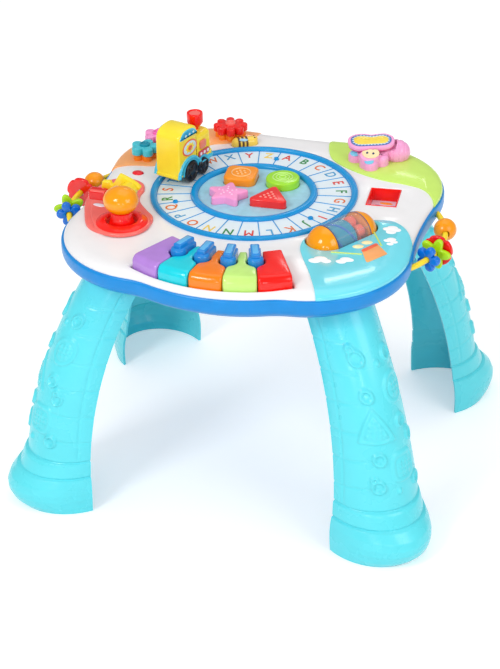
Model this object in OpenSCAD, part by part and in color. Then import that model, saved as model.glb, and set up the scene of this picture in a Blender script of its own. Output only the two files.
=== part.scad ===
// Musical activity table: a four-lobed deck on four half-round legs.
// The deck carries an alphabet track with a push-along train, a shape tray,
// a fanned keyboard, a lever, a rattle roller, flower spinners and two bead bars.
// Origin: centre of the foot pattern on the floor, +Z up, -Y is the keyboard side.
// All sizes are in millimetres.

/* [Body] */
// Height of the flat deck above the floor
deck_h = 326; // [300:1:360]
// Depth of the body from the deck to its underside
body_depth = 42; // [41:1:50]
// Wall of the moulded shells
wall = 2.5; // [2:0.1:3.2]
// Sideways distance of a corner lobe from the body's middle
lobe_x = 87; // [84:1:110]
// Distance of the front lobes from the origin
lobe_front = 80; // [76:1:100]
// Distance of the back lobes from the origin
lobe_back = 90; // [86:1:112]
// Radius of a corner lobe
lobe_r = 117; // [114:1:125]
// Sideways place of the body's middle
body_x = -2; // [-8:1:4]
// Drop of the deck's rounded edge
crown_drop = 8; // [7:0.5:10]

/* [Legs] */
// Sideways distance of a foot's open side from the origin
foot_x = 186.5; // [180:0.5:225]
// Front to back distance of a foot's open side from the origin
foot_y = 164.6; // [158:0.5:200]
// Direction that a leg bulges in, from the X axis
leg_turn = 41.1; // [35:0.1:50]
// Inward lean of a leg from foot to body
leg_lean = 85.5; // [70:0.5:90]
// Width of a leg where it meets the body
leg_top_w = 82; // [74:1:88]
// Depth of a leg where it meets the body
leg_top_d = 52; // [46:1:56]
// Wall of a leg
leg_wall = 3; // [2.5:0.1:4]

/* [Alphabet track] */
// Centre of the track, across
track_x = -13; // [-16:0.5:-10]
// Centre of the track, front to back
track_y = 33; // [30:0.5:36]
// Outer radius of the track's outer rim
track_r = 125; // [122:0.5:126]
// Width of the outer rim
outer_rim_w = 8; // [6:0.5:9]
// Outer radius of the inner rim
inner_r = 76; // [74:0.5:80]
// Width of the inner rim
inner_rim_w = 8.5; // [6:0.5:9]
// Number of letter cells
cells = 27; // [24:1:30]
// Height of the rims above the deck
rim_h = 4; // [3:0.5:5]

/* [Keyboard] */
// Centre of the keyboard's fan, across
fan_x = 1; // [-2:0.5:4]
// Centre of the keyboard's fan, front to back
fan_y = -30; // [-32:0.5:-28]
// Radius of the keys' front ends
key_front_r = 177; // [172:0.5:178]
// Radius of the keys' rear ends
key_rear_r = 112; // [110:0.5:116]
// Angle taken by one large key
key_step = 13; // [12:0.1:13.2]
// Height of the large keys above the deck
key_h = 14; // [11:0.5:16]
// Height of the small keys above the large ones
sharp_h = 10; // [8:0.5:12]
// Width of a small key
sharp_w = 14; // [12:0.5:14.5]

/* [Roller] */
// Centre of the roller, across
roller_x = 116; // [115:0.5:119]
// Centre of the roller, front to back
roller_y = -45.5; // [-47:0.5:-43]
// Direction of the roller's axle, from the X axis
roller_turn = 58; // [50:1:60]
// Radius of the roller
roller_r = 23.5; // [20:0.1:25]
// Length of the clear drum
drum_l = 52; // [46:1:54]

/* [Lever] */
// Place of the lever, across
lever_x = -138; // [-141:0.5:-135]
// Place of the lever, front to back
lever_y = -88; // [-91:0.5:-85]
// Radius of the lever's ball boot
boot_r = 18; // [16:0.5:19]
// Radius of the lever's round head
head_r = 21; // [17:0.5:22]

/* [Train] */
// Radius of the middle of the wheels' path
train_r = 97; // [95:0.5:98]
// Place of the train on the track, from the X axis
train_turn = 164; // [0:1:360]
// Radius of the rear wheels
rear_wheel_r = 13; // [11:0.1:13.2]
// Radius of the front wheels
front_wheel_r = 10.5; // [9:0.1:11]
// Distance between the axles
wheelbase = 25.4; // [25:0.1:28]

/* [Bead bars] */
// Radius of a bead bar's tube
bar_r = 3.5; // [2.5:0.1:4]
// Half the distance between a bar's ends
bar_half = 76; // [70:1:85]
// Distance that a bar bows out of the body
bar_bow = 26; // [25:0.5:32]
// Radius of a ball bead
ball_r = 13.5; // [11:0.5:14]

/* [Spinners] */
// Radius of a small flower
flower_r = 18.3; // [14:0.1:18.5]
// Radius of the large flower
big_flower_r = 21.5; // [18:0.1:22]

/* [Hidden] */
$fn = 48;

// Heights that the pieces share
base_z = deck_h - body_depth;
floor_z = base_z + 3;
joint_z = deck_h - crown_drop;
deck_in = deck_h - wall;
patch_t = 1.2;
fit = 0.3;
shaft_fit = 0.05;
past = 1;

// ---------- Outline of the body: lobes joined by hollow blends ----------
fan_c = [fan_x, fan_y];
fan_lobe_r = key_front_r + 9;
lobes = [[fan_c, fan_lobe_r],
    [[body_x + lobe_x, -lobe_front], lobe_r],
    [[body_x + lobe_x, lobe_back], lobe_r],
    [[body_x - lobe_x, lobe_back], lobe_r],
    [[body_x - lobe_x, -lobe_front], lobe_r]];
blends = [90, 600, 1200, 600, 90];
lobe_steps = 10;
blend_steps = 4;

function lobe_c(i) = lobes[i % 5][0];
function lobe_rad(i) = lobes[i % 5][1];
function heading(v) = atan2(v[1], v[0]);
function turn_up(a0, a1) = a1 < a0 ? a1 + 360 : a1;
function turn_down(a0, a1) = a1 > a0 ? a1 - 360 : a1;
function arc(c, r, a0, a1, n) =
    [for (i = [0:n]) c + r*[cos(a0 + (a1 - a0)*i/n), sin(a0 + (a1 - a0)*i/n)]];

// Centre of the blend that touches lobe i and the next one from outside
function blend_c(i) =
    let (a = lobe_c(i), b = lobe_c(i + 1), f = blends[i % 5],
        ra = lobe_rad(i) + f, rb = lobe_rad(i + 1) + f,
        d = norm(b - a), u = (b - a)/d, x = (d*d + ra*ra - rb*rb)/(2*d))
    a + u*x + [u[1], -u[0]]*sqrt(ra*ra - x*x);

function lobe_arc(i, grow) =
    let (c = lobe_c(i), a0 = heading(blend_c(i + 4) - c), a1 = heading(blend_c(i) - c))
    arc(c, lobe_rad(i) + grow, a0, turn_up(a0, a1), lobe_steps);

function blend_arc(i, grow) =
    let (c = blend_c(i), a0 = heading(lobe_c(i) - c), a1 = heading(lobe_c(i + 1) - c),
        pts = arc(c, blends[i % 5] - grow, a0, turn_down(a0, a1), blend_steps))
    [for (k = [1:blend_steps - 1]) pts[k]];

function outline(grow) = [for (i = [0:4]) each concat(lobe_arc(i, grow), blend_arc(i, grow))];

module slab(z0, z1, grow) {
    translate([0, 0, z0]) linear_extrude(z1 - z0) polygon(outline(grow));
}

// The deck's rounded edge as rings, grown by e all round and upwards
crown_steps = [[0, -6], [-2, -3.5], [-5, -1.3], [-9, 0]];
module crown(e) {
    for (s = crown_steps) slab(joint_z, deck_h + s[1] + e, s[0] + e);
}

// ---------- Legs ----------
leg_h = base_z;
leg_arc_steps = 18;
lean_power = 2.22;
cuff_z = 64;
cuff_w = 106;
cuff_d = 57;
plug_in = 3.5;
plug_h = 13;
// Height, width and depth of the foot and of the cuff above it
foot_rings = [[0, 120, 70], [10, 121, 79], [24, 121, 83], [35, 119, 79], [44, 115, 71],
    [44.5, 112, 67], [60, 109, 62], [64, 107, 60]];
leg_places = [["leg_front_left", -1, -1], ["leg_front_right", 1, -1],
    ["leg_back_right", 1, 1], ["leg_back_left", -1, 1]];
shank_steps = 8;

function leg_in(z) = -leg_lean*pow(z/leg_h, lean_power);
function shank_ring(z) =
    let (t = (z - cuff_z)/(leg_h - cuff_z))
    [z, leg_top_w + (cuff_w - leg_top_w)*pow(1 - t, 1.7), cuff_d + (leg_top_d - cuff_d)*t];
leg_rings = concat(foot_rings,
    [for (i = [0:shank_steps]) shank_ring(cuff_z + 0.5 + (leg_h - cuff_z - 0.5)*i/shank_steps)]);

function half_ring(w, d, z, n, flip) =
    [for (i = [0:n]) let (a = 180*(flip ? n - i : i)/n) [leg_in(z) + d*sin(a), w/2*cos(a), z]];
function leg_loop(r) = concat(half_ring(r[1], r[2], r[0], leg_arc_steps, false),
    half_ring(r[1] - 2*leg_wall, r[2] - leg_wall, r[0], leg_arc_steps, true));

module leg_shell() {
    n = leg_arc_steps;
    m = 2*(n + 1);
    top = (len(leg_rings) - 1)*m;
    sides = [for (k = [0:len(leg_rings) - 2]) for (j = [0:m - 1])
        [k*m + j, k*m + (j + 1) % m, (k + 1)*m + (j + 1) % m, (k + 1)*m + j]];
    bottom_face = [for (j = [0:n - 1]) [m - 1 - j, m - 2 - j, j + 1, j]];
    top_face = [for (j = [0:n - 1]) [top + j, top + j + 1, top + m - 2 - j, top + m - 1 - j]];
    polyhedron(points = [for (r = leg_rings) each leg_loop(r)],
        faces = concat(sides, bottom_face, top_face), convexity = 6);
}

// D-shaped outline of a leg's top, shrunk by e
module leg_d(e) {
    n = 2*leg_arc_steps;
    polygon([for (i = [0:n]) [-leg_lean + e + (leg_top_d - 2*e)*sin(180*i/n),
        (leg_top_w/2 - e)*cos(180*i/n)]]);
}

leg_screw_x = -leg_lean + 20;
leg_screw_y = 20;
screw_r = 2;
screw_hole = 2.1;
screw_head = 4;

module leg_screw_spots() {
    for (s = [-1, 1]) translate([leg_screw_x, s*leg_screw_y, 0]) children();
}

module at_leg(sx, sy) {
    translate([sx*foot_x, sy*foot_y, 0])
        rotate([0, 0, atan2(sy*sin(leg_turn), sx*cos(leg_turn))]) children();
}

module leg(sx, sy) {
    color([0.42, 0.87, 0.93]) at_leg(sx, sy) {
        leg_shell();
        difference() {
            union() {
                translate([0, 0, leg_h - leg_wall]) linear_extrude(leg_wall) leg_d(2);
                translate([0, 0, leg_h]) linear_extrude(plug_h) leg_d(plug_in);
            }
            translate([0, 0, leg_h - leg_wall - past])
                linear_extrude(plug_h + past) leg_d(plug_in + leg_wall);
            leg_screw_spots() translate([0, 0, leg_h]) cylinder(r = screw_hole, h = plug_h + past);
        }
    }
}

// ---------- Lower housing ----------
// Bottom and top of each outer band below the joint, and how far it stands out
bands = [[2.5, 0, 4.5], [4, 2.5, 2.8], [14, 4, 4.5], [17, 14, 3], [20, 17, 0], [24, 20, -8]];
socket_roof = plug_h + fit + wall;
post_spots = [[body_x - 172, 84], [body_x + 165, 8], [fan_x - 107, -162.5], [fan_x + 107, -162.5],
    [40, 174], [-38, 174]];
post_r = 4.5;
post_foot_z = base_z + 8;
speaker_x = -115;
speaker_y = 5;
speaker_r = 26;
cell_r = 7.1;
cell_l = 50.5;
cell_pitch = 15.5;
bay_x = 8;
bay_y = -52;
bay_w = 49;
bay_l = 57;
bay_top = base_z + 20;
door_lip = 2.5;
board_x = -13;
board_y = 45;
board_w = 120;
board_l = 76;
board_z = base_z + 16;
switch_x = 62;
switch_y = -30;
switch_travel = 6;
bee_x = -64;
bee_y = 162;
bee_turn = 31;
bee_half = 9.5;
bee_r = 7.5;
dome_h = 4;
press_gap = 2.5;
bee_flange_z = deck_in - fit - 3;

module bay_box(grow, z0, z1) {
    translate([bay_x - bay_w/2 - grow, bay_y - bay_l/2 - grow, z0])
        cube([bay_w + 2*grow, bay_l + 2*grow, z1 - z0]);
}

module board_posts() {
    for (sx = [-1, 1]) for (sy = [-1, 1])
        translate([board_x + sx*(board_w/2 - 5), board_y + sy*(board_l/2 - 5), 0]) children();
}

bar_z = joint_z - 10;
bar_bend = (bar_half*bar_half + bar_bow*bar_bow)/(2*bar_bow);
bar_end_x = 202;
bar_sweep = asin(bar_half/bar_bend);

// Puts its children on one side's bead bar, turned by a along the bow
module at_bar(side, a) {
    translate([body_x + side*(bar_end_x + bar_bow - bar_bend), 0, bar_z])
        rotate([0, 0, side > 0 ? a : 180 - a]) translate([bar_bend, 0, 0]) children();
}

module bead_bar(side, r) {
    translate([body_x + side*(bar_end_x + bar_bow - bar_bend), 0, bar_z])
        rotate([0, 0, (side > 0 ? 0 : 180) - bar_sweep])
            rotate_extrude(angle = 2*bar_sweep, $fn = 180) translate([bar_bend, 0])
                circle(r = r, $fn = 32);
}

module bar_stubs(r, l0, l1) {
    for (side = [-1, 1]) for (s = [-1, 1])
        at_bar(side, s*bar_sweep) rotate([side*s*-90, 0, 0])
            translate([0, 0, l0]) cylinder(r = r, h = l1 - l0);
}

module lower_housing() {
    color([0.05, 0.62, 0.89]) difference() {
        union() {
            difference() {
                union() {
                    for (b = bands) slab(joint_z - b[0], joint_z - b[1], b[2]);
                    slab(base_z, joint_z - 24, -23);
                }
                slab(floor_z, joint_z - 20, -26);
                slab(joint_z - 20 - past, joint_z - 17, -11);
                slab(joint_z - 17 - past, joint_z - 14, -3);
                slab(joint_z - 14 - past, joint_z + past, -1.3);
            }
            for (l = leg_places) at_leg(l[1], l[2]) {
                translate([0, 0, base_z]) linear_extrude(socket_roof) leg_d(plug_in - fit - wall);
                leg_screw_spots() translate([0, 0, base_z + socket_roof])
                    cylinder(r = post_r, h = 10);
            }
            for (p = post_spots) translate([p[0], p[1], base_z]) cylinder(r = 6.5, h = 8);
            bay_box(wall, floor_z, bay_top + wall);
            board_posts() translate([0, 0, floor_z]) cylinder(r = 4, h = board_z - floor_z);
            translate([speaker_x, speaker_y, floor_z]) difference() {
                cylinder(r = speaker_r + 2, h = 5);
                cylinder(r = speaker_r + fit, h = 5 + past);
            }
            translate([bee_x, bee_y, floor_z])
                cylinder(r = 5, h = bee_flange_z - press_gap - dome_h - floor_z);
        }
        for (l = leg_places) at_leg(l[1], l[2]) {
            translate([0, 0, base_z - past]) linear_extrude(plug_h + fit + past) leg_d(plug_in - fit);
            leg_screw_spots() translate([0, 0, base_z]) cylinder(r = screw_hole, h = 40);
        }
        for (p = post_spots) translate([p[0], p[1], base_z - past]) {
            cylinder(r = screw_hole, h = 20);
            cylinder(r = screw_head + 0.4, h = 6 + past);
        }
        bay_box(0, base_z - past, bay_top);
        bay_box(door_lip, base_z - past, floor_z - 0.4);
        translate([speaker_x, speaker_y, base_z - past]) for (ring = [0:2])
            for (i = [0:max(0, ring*6 - 1)]) rotate([0, 0, i*60/max(1, ring)])
                translate([ring*7, 0, 0]) cylinder(r = 1.8, h = 6, $fn = 24);
        translate([switch_x - 3.5, switch_y - 2.5, base_z - past])
            cube([switch_travel + 7, 5, 3 + 2*past]);
        bar_stubs(bar_r + 0.1, 0, 12);
        for (side = [-1, 1]) bead_bar(side, bar_r + 0.1);
    }
}

// ---------- Top cover ----------
key_count = 5;
fan_half = key_count*key_step/2;
opening_rear_r = key_rear_r - 2;
opening_front_r = key_front_r + 1.5;
opening_half = fan_half + 0.3;
boot_z = deck_h - 6;
panel_hole_r = 27;
roller_z = deck_h - 4;
cap_collar = 1;
cap_h = 20.7;
cap_r = (roller_r*roller_r + cap_h*cap_h)/(2*cap_h);
cap_at = cap_collar + cap_h - cap_r;
roller_gap = 1.4;
stub_r = 2.5;
stub_l = 7;
window_x = 140;
window_y = 61.5;
window_w = 37;
window_l = 47;
window_depth = 16;
window_turn = 5;
track_seat_r = track_r - 7;

module at_roller() {
    translate([roller_x, roller_y, roller_z]) rotate([0, 0, roller_turn]) children();
}

// How far the outer keys spread sideways at their rear
key_flare = 6;

// Point at a radius and an angle, moved sideways by d
function beside(r, a, d) = [r*cos(a) - d*sin(a), r*sin(a) + d*cos(a)];

// Fan sector between two radii, measured from straight ahead of the keyboard
module fan_sector(r0, r1, half, z0, z1, flare = 0) {
    n = 12;
    translate([fan_x, fan_y, z0]) linear_extrude(z1 - z0)
        polygon(concat(arc([0, 0], r1, -90 - half, -90 + half, n), [beside(r0, half - 90, flare)],
            arc([0, 0], r0, -90.5 + half, -89.5 - half, n), [beside(r0, -half - 90, -flare)]));
}

module roller_opening() {
    at_roller() translate([0, 0, -12]) {
        linear_extrude(30) {
            square([drum_l + 2*cap_collar, 2*(roller_r + roller_gap)], center = true);
            for (s = [-1, 1]) translate([s*(drum_l/2 + cap_at), 0])
                circle(r = cap_r + roller_gap);
        }
    }
}

module bee_slot(grow) {
    translate([bee_x, bee_y]) rotate(bee_turn) {
        square([2*bee_half, 2*(bee_r + grow)], center = true);
        for (s = [-1, 1]) translate([s*bee_half, 0]) circle(r = bee_r + grow);
    }
}

module window_box(grow, z0, z1) {
    translate([window_x, window_y, (z0 + z1)/2]) rotate([0, 0, window_turn])
        cube([window_w + 2*grow, window_l + 2*grow, z1 - z0], center = true);
}

roller_end = drum_l/2 + cap_collar + cap_h;
bracket_t = 4;

module top_cover() {
    color([0.97, 0.97, 0.97]) difference() {
        union() {
            difference() {
                crown(0);
                slab(joint_z - past, deck_h - 6 - 1, -4);
                slab(joint_z - past, deck_h - 3.5 - 1, -7);
                slab(joint_z - past, deck_in, -11);
            }
            difference() {
                slab(joint_z - 6, joint_z + 0.5, -1.6);
                slab(joint_z - 6 - past, joint_z + past, -4);
            }
            for (p = post_spots) translate([p[0], p[1], post_foot_z])
                cylinder(r = post_r, h = deck_in + 0.5 - post_foot_z);
            at_roller() for (s = [-1, 1])
                translate([s*(roller_end + 1 + bracket_t/2) - bracket_t/2, -7, -8])
                    cube([bracket_t, 14, deck_in + 0.5 - roller_z + 8]);
        }
        translate([track_x, track_y, deck_h - 10]) cylinder(r = track_seat_r, h = 20, $fn = 96);
        fan_sector(opening_rear_r, opening_front_r, opening_half, deck_h - 10, deck_h + 10, key_flare);
        translate([lever_x, lever_y, deck_h - 10]) cylinder(r = panel_hole_r, h = 20);
        roller_opening();
        at_roller() rotate([0, 90, 0])
            cylinder(r = stub_r + shaft_fit, h = 2*(roller_end + bracket_t + 3), center = true);
        window_box(0.3, deck_h - 10, deck_h + 10);
        translate([0, 0, deck_h - 10]) linear_extrude(20) bee_slot(0.5);
        for (p = post_spots) translate([p[0], p[1], post_foot_z - past])
            cylinder(r = screw_hole, h = 20);
    }
}

// ---------- Track and shape tray ----------
lane_z = deck_h - 0.5;
rim_top = deck_h + rim_h;
tray_top = lane_z;
tray_low = deck_in - 4.5;
pocket_depth = 2;
block_top = deck_h + 9;
stud_r = 3;
stud_ring = (track_r - outer_rim_w + inner_r)/2;
divider_h = 0.8;

module at_track() {
    translate([track_x, track_y, 0]) children();
}

module tube(r_out, r_in, z0, z1) {
    difference() {
        translate([0, 0, z0]) cylinder(r = r_out, h = z1 - z0, $fn = 96);
        translate([0, 0, z0 - past]) cylinder(r = r_in, h = z1 - z0 + 2*past, $fn = 96);
    }
}

module track_ring() {
    channel_r = track_r - outer_rim_w;
    color([0.1, 0.5, 0.78]) at_track() {
        tube(track_r, channel_r, deck_h, rim_top);
        tube(track_seat_r - fit, channel_r - 3, deck_in, deck_h);
        tube(track_seat_r - fit, inner_r - inner_rim_w, deck_in - 1, lane_z);
        tube(inner_r, inner_r - inner_rim_w, deck_in - 1, rim_top);
        for (i = [0:cells - 1]) rotate([0, 0, 90 - i*360/cells])
            translate([inner_r - 1, -0.6, lane_z]) cube([channel_r - inner_r + 2, 1.2, divider_h]);
        for (i = [0:2]) rotate([0, 0, 90 - i*120]) translate([stud_ring, 0, lane_z])
            cylinder(r = stud_r, h = 3, $fn = 32);
    }
}

// Middle of each block from the track's centre, and its turn
square_spot = [-26, 32.5];
circle_spot = [26.5, 33];
star_spot = [-27, -20.5];
triangle_spot = [25.4, -18.5];
square_side = 39;
circle_r = 20.5;
star_r = 28.5;
star_in = 15.5;
triangle_r = 20;
pocket_fit = 0.6;

module square_shape(e) {
    translate(square_spot) rotate(5) hull()
        for (sx = [-1, 1]) for (sy = [-1, 1])
            translate([sx, sy]*(square_side/2 - 9)) circle(r = 9 + e, $fn = 32);
}

module circle_shape(e) {
    translate(circle_spot) circle(r = circle_r + e, $fn = 64);
}

module star_shape(e) {
    translate(star_spot) offset(r = 2 + e, $fn = 24)
        polygon([for (i = [0:9]) (i % 2 == 0 ? star_r - 4 : star_in - 3)*[cos(95 + i*36), sin(95 + i*36)]]);
}

module triangle_shape(e) {
    translate(triangle_spot) hull() for (i = [0:2])
        translate(triangle_r*[cos(92.6 + i*120), sin(92.6 + i*120)]) circle(r = 5 + e, $fn = 32);
}

module tray_pocket() {
    translate([0, 0, tray_top - pocket_depth]) linear_extrude(pocket_depth + past) children();
}

module shape_tray() {
    color([0.66, 0.86, 0.92]) at_track() difference() {
        union() {
            translate([0, 0, tray_low])
                cylinder(r = inner_r - inner_rim_w - fit, h = tray_top - tray_low, $fn = 96);
            translate([0, 0, tray_low]) cylinder(r = inner_r, h = deck_in - 1 - tray_low, $fn = 96);
        }
        tray_pocket() square_shape(pocket_fit);
        tray_pocket() circle_shape(pocket_fit);
        tray_pocket() star_shape(pocket_fit);
        tray_pocket() triangle_shape(pocket_fit);
    }
}

module block() {
    at_track() translate([0, 0, tray_top - pocket_depth])
        linear_extrude(block_top - tray_top + pocket_depth) children();
}

module block_square() {
    color([0.98, 0.56, 0.06]) block() square_shape(0);
}

module block_circle() {
    color([0.65, 0.9, 0.31]) block() circle_shape(0);
}

module block_star() {
    color([0.99, 0.71, 0.87]) block() star_shape(0);
}

module block_triangle() {
    color([0.97, 0.27, 0.27]) block() triangle_shape(0);
}

// ---------- Keyboard ----------
pivot_r = key_rear_r - 8;
pivot_z = deck_h - 8.5;
barrel_r = 3.6;
barrel_l = 6;
pin_r = 1.5;
key_top = deck_h + key_h;
key_foot = deck_h - 10;
key_gap = 0.4;
sharp_front = 136;
sharp_bulb = sharp_w/2 + 2;
notch_gap = 1.7;
plunger_at = 140;
plunger_l = 7;
frame_z = base_z + 16;
frame_t = 2.5;
key_edge = 5;

// Puts its children at one place of the fan, +X pointing to the front
module at_fan(a) {
    translate([fan_x, fan_y, 0]) rotate([0, 0, a - 90]) children();
}

module pivot_arm() {
    translate([pivot_r, -barrel_l/2, pivot_z - barrel_r])
        cube([key_rear_r - pivot_r + 4, barrel_l, 2*barrel_r]);
    translate([pivot_r, 0, pivot_z]) rotate([90, 0, 0])
        cylinder(r = barrel_r, h = barrel_l, center = true);
    translate([plunger_at, 0, key_foot - plunger_l]) cylinder(r = 2.5, h = plunger_l + past, $fn = 24);
}

module pivot_bore() {
    translate([pivot_r, 0, pivot_z]) rotate([90, 0, 0])
        cylinder(r = pin_r + shaft_fit, h = barrel_l + 2*past, center = true);
}

module sharp_shape(e) {
    translate([key_rear_r - 4*e, -sharp_w/2 - e]) square([sharp_front - key_rear_r + 4*e, sharp_w + 2*e]);
    translate([sharp_front, 0]) circle(r = sharp_bulb + e);
}

// Rear corner of a large key, spread on a side that has no small key beside it
function key_corner(side, notches, half) =
    [beside(key_rear_r, side*half, search(side, notches) == [] ? side*key_flare : 0)];

// A large key; notches gives the sides that have a small key beside them
module natural(a, notches) {
    half = key_step/2;
    slack = key_gap/key_front_r*180/PI;
    at_fan(a) difference() {
        union() {
            translate([0, 0, key_foot]) linear_extrude(key_top - key_foot)
                polygon(concat(arc([0, 0], key_front_r, slack - half, half - slack, 6),
                    key_corner(1, notches, half - 2*slack),
                    arc([0, 0], key_rear_r, half - 3*slack, 3*slack - half, 6),
                    key_corner(-1, notches, half - 2*slack)));
            pivot_arm();
        }
        for (s = notches) rotate([0, 0, s*half]) translate([0, 0, key_foot - past])
            linear_extrude(key_top - key_foot + 2*past) sharp_shape(notch_gap);
        translate([0, 0, key_foot - past]) linear_extrude(key_top - key_foot - 2)
            polygon(concat(arc([0, 0], key_front_r - 7, -half*0.8, half*0.8, 6),
                arc([0, 0], sharp_front + 15, half*0.8, -half*0.8, 6)));
        translate([key_front_r - key_edge, 0, key_top]) rotate([0, 45, 0])
            cube([2*key_edge, 80, 1.42*key_edge], center = true);
        pivot_bore();
    }
}

module small_key(a) {
    color([0.12, 0.5, 0.82]) at_fan(a) difference() {
        union() {
            translate([0, 0, key_foot]) linear_extrude(key_top + sharp_h - 2.5 - key_foot) sharp_shape(0);
            translate([key_rear_r, 2 - sharp_w/2, key_foot])
                cube([sharp_front - key_rear_r + 2, sharp_w - 4, key_top + sharp_h - key_foot]);
            pivot_arm();
        }
        pivot_bore();
    }
}

module key_purple() {
    color([0.7, 0.5, 0.82]) natural(-2*key_step, [1]);
}

module key_teal() {
    color([0.1, 0.8, 0.87]) natural(-key_step, [-1, 1]);
}

module key_orange() {
    color([0.99, 0.55, 0.05]) natural(0, [-1, 1]);
}

module key_green() {
    color([0.77, 0.92, 0.5]) natural(key_step, [-1, 1]);
}

module key_red() {
    color([0.97, 0.15, 0.1]) natural(2*key_step, [-1]);
}

module sharp_key_1() {
    small_key(-1.5*key_step);
}

module sharp_key_2() {
    small_key(-0.5*key_step);
}

module sharp_key_3() {
    small_key(0.5*key_step);
}

module sharp_key_4() {
    small_key(1.5*key_step);
}

lever_count = 2*key_count - 1;
rib_t = 3;
frame_half = fan_half - 1;

module key_frame() {
    color([0.85, 0.86, 0.87]) {
        fan_sector(pivot_r - 8, key_front_r - 12, frame_half, frame_z, frame_z + frame_t);
        for (i = [0:lever_count]) at_fan((i - lever_count/2)*key_step/2)
            translate([pivot_r - 6, -rib_t/2, frame_z])
                cube([11, rib_t, pivot_z + 4 - frame_z]);
        for (i = [0:lever_count - 1]) at_fan((i - (lever_count - 1)/2)*key_step/2)
            translate([pivot_r, 0, pivot_z]) rotate([90, 0, 0])
                cylinder(r = pin_r, h = 13, center = true);
        for (a = [-26, 26]) for (r = [pivot_r + 6, key_front_r - 22]) at_fan(a)
            translate([r, 0, floor_z]) cylinder(r = 4, h = frame_z - floor_z + past);
    }
}

// Slope of the drum pad on the bug's back
pad_x = 101;
pad_y = 160;
pad_z = deck_h + 26;
pad_tilt = 10;
pad_half = 12;
pad_turn = 15;
pad_r = 16;
pad_t = 5;
pad_gap = 2.8;
pad_stem = 17;

module at_pad() {
    translate([pad_x, pad_y, pad_z]) rotate([pad_tilt, 0, 0]) children();
}

module rubber_dome(z0) {
    translate([0, 0, z0]) cylinder(r1 = 4.6, r2 = 3, h = dome_h, $fn = 32);
}

module switch_domes() {
    color([0.35, 0.35, 0.36]) {
        for (i = [0:lever_count - 1]) at_fan((i - (lever_count - 1)/2)*key_step/2)
            translate([plunger_at, 0, 0]) rubber_dome(frame_z + frame_t);
        translate([bee_x, bee_y, 0]) rubber_dome(bee_flange_z - press_gap - dome_h);
        at_pad() translate([0, 0, -pad_stem - press_gap - 4.6]) cylinder(r = 4.5, h = 4.6, $fn = 32);
    }
}

// ---------- Electronics and fasteners ----------
module main_board() {
    color([0.1, 0.42, 0.2]) translate([board_x, board_y, board_z]) {
        translate([-board_w/2, -board_l/2, 0]) cube([board_w, board_l, 1.6]);
        for (p = [[-35, 10, 9], [5, -12, 12], [32, 14, 7]]) translate([p[0], p[1], 1.6])
            cylinder(r = p[2], h = 2.4);
        for (i = [0:4]) translate([-40 + 16*i, -30, 1.6]) cylinder(r = 2.5, h = 7);
    }
}

module speaker() {
    color([0.25, 0.25, 0.27]) translate([speaker_x, speaker_y, floor_z]) {
        cylinder(r = speaker_r, h = 4);
        translate([0, 0, 4]) cylinder(r1 = speaker_r - 3, r2 = 14, h = 7);
        translate([0, 0, 11]) cylinder(r = 14.5, h = 8);
    }
}

module battery_door() {
    color([0.05, 0.62, 0.89]) difference() {
        bay_box(door_lip - 0.25, base_z, floor_z - 0.5);
        for (i = [-3:3]) translate([bay_x - 10, bay_y + 18 + 2.4*i, base_z - past])
            cube([20, 1, 1.7]);
    }
}

module battery_cells() {
    color([0.3, 0.3, 0.32]) for (i = [-1, 0, 1])
        translate([bay_x + i*cell_pitch, bay_y, floor_z + cell_r - 0.3]) rotate([90, 0, 0]) {
            cylinder(r = cell_r, h = cell_l - 1.5, center = true);
            cylinder(r = 2.7, h = cell_l + 1, center = true);
        }
}

module power_slider() {
    color([0.15, 0.15, 0.16]) translate([switch_x, switch_y, 0]) {
        translate([-8, -5, floor_z + 0.1]) cube([16, 10, 2]);
        translate([-3, -2.2, base_z - 2]) cube([6, 4.4, floor_z - base_z + 2.5]);
    }
}

module screw(l) {
    translate([0, 0, -2.5]) cylinder(r = screw_head, h = 2.5, $fn = 24);
    translate([0, 0, -past]) cylinder(r = screw_r, h = l + past, $fn = 24);
}

module screws() {
    color([0.72, 0.73, 0.75]) {
        for (l = leg_places) at_leg(l[1], l[2]) leg_screw_spots()
            translate([0, 0, base_z + plug_h - leg_wall]) screw(14);
        for (p = post_spots) translate([p[0], p[1], base_z + 6]) screw(12);
    }
}

// ---------- Lever ----------
panel_t = 4;
boot_fit = 0.3;
trunnion_r = 2.5;
ear_x = 20;
head_z = deck_h + 32.3;
head_squash = 0.8;
stem_r = 5;
boom_r = 11;

// Kidney outline of the lever's panel
module panel_shape(e) {
    offset(r = -18 + e) offset(delta = 18) {
        hull() {
            translate([-169, 0]) circle(r = 27, $fn = 40);
            translate([-167, -42]) circle(r = 31, $fn = 40);
        }
        hull() {
            translate([-167, -42]) circle(r = 31, $fn = 40);
            translate([lever_x - 5, lever_y + 9]) circle(r = 38, $fn = 48);
        }
    }
}

module lever_panel() {
    color([0.97, 0.35, 0.32]) difference() {
        union() {
            translate([0, 0, deck_h]) linear_extrude(panel_t) panel_shape(0);
            translate([lever_x, lever_y, deck_h]) cylinder(r = 25, h = panel_t + 2.2);
            translate([lever_x, lever_y, deck_h - 3]) cylinder(r = panel_hole_r - fit, h = 3 + past);
            for (s = [-1, 1]) translate([lever_x + s*(ear_x + 1.5) - 1.5, lever_y - 4, boot_z - 6])
                cube([3, 8, deck_h - boot_z + 5]);
        }
        translate([lever_x, lever_y, boot_z]) {
            sphere(r = boot_r + boot_fit, $fn = 64);
            rotate([0, 90, 0]) cylinder(r = trunnion_r + shaft_fit, h = 60, center = true);
        }
    }
}

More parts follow.
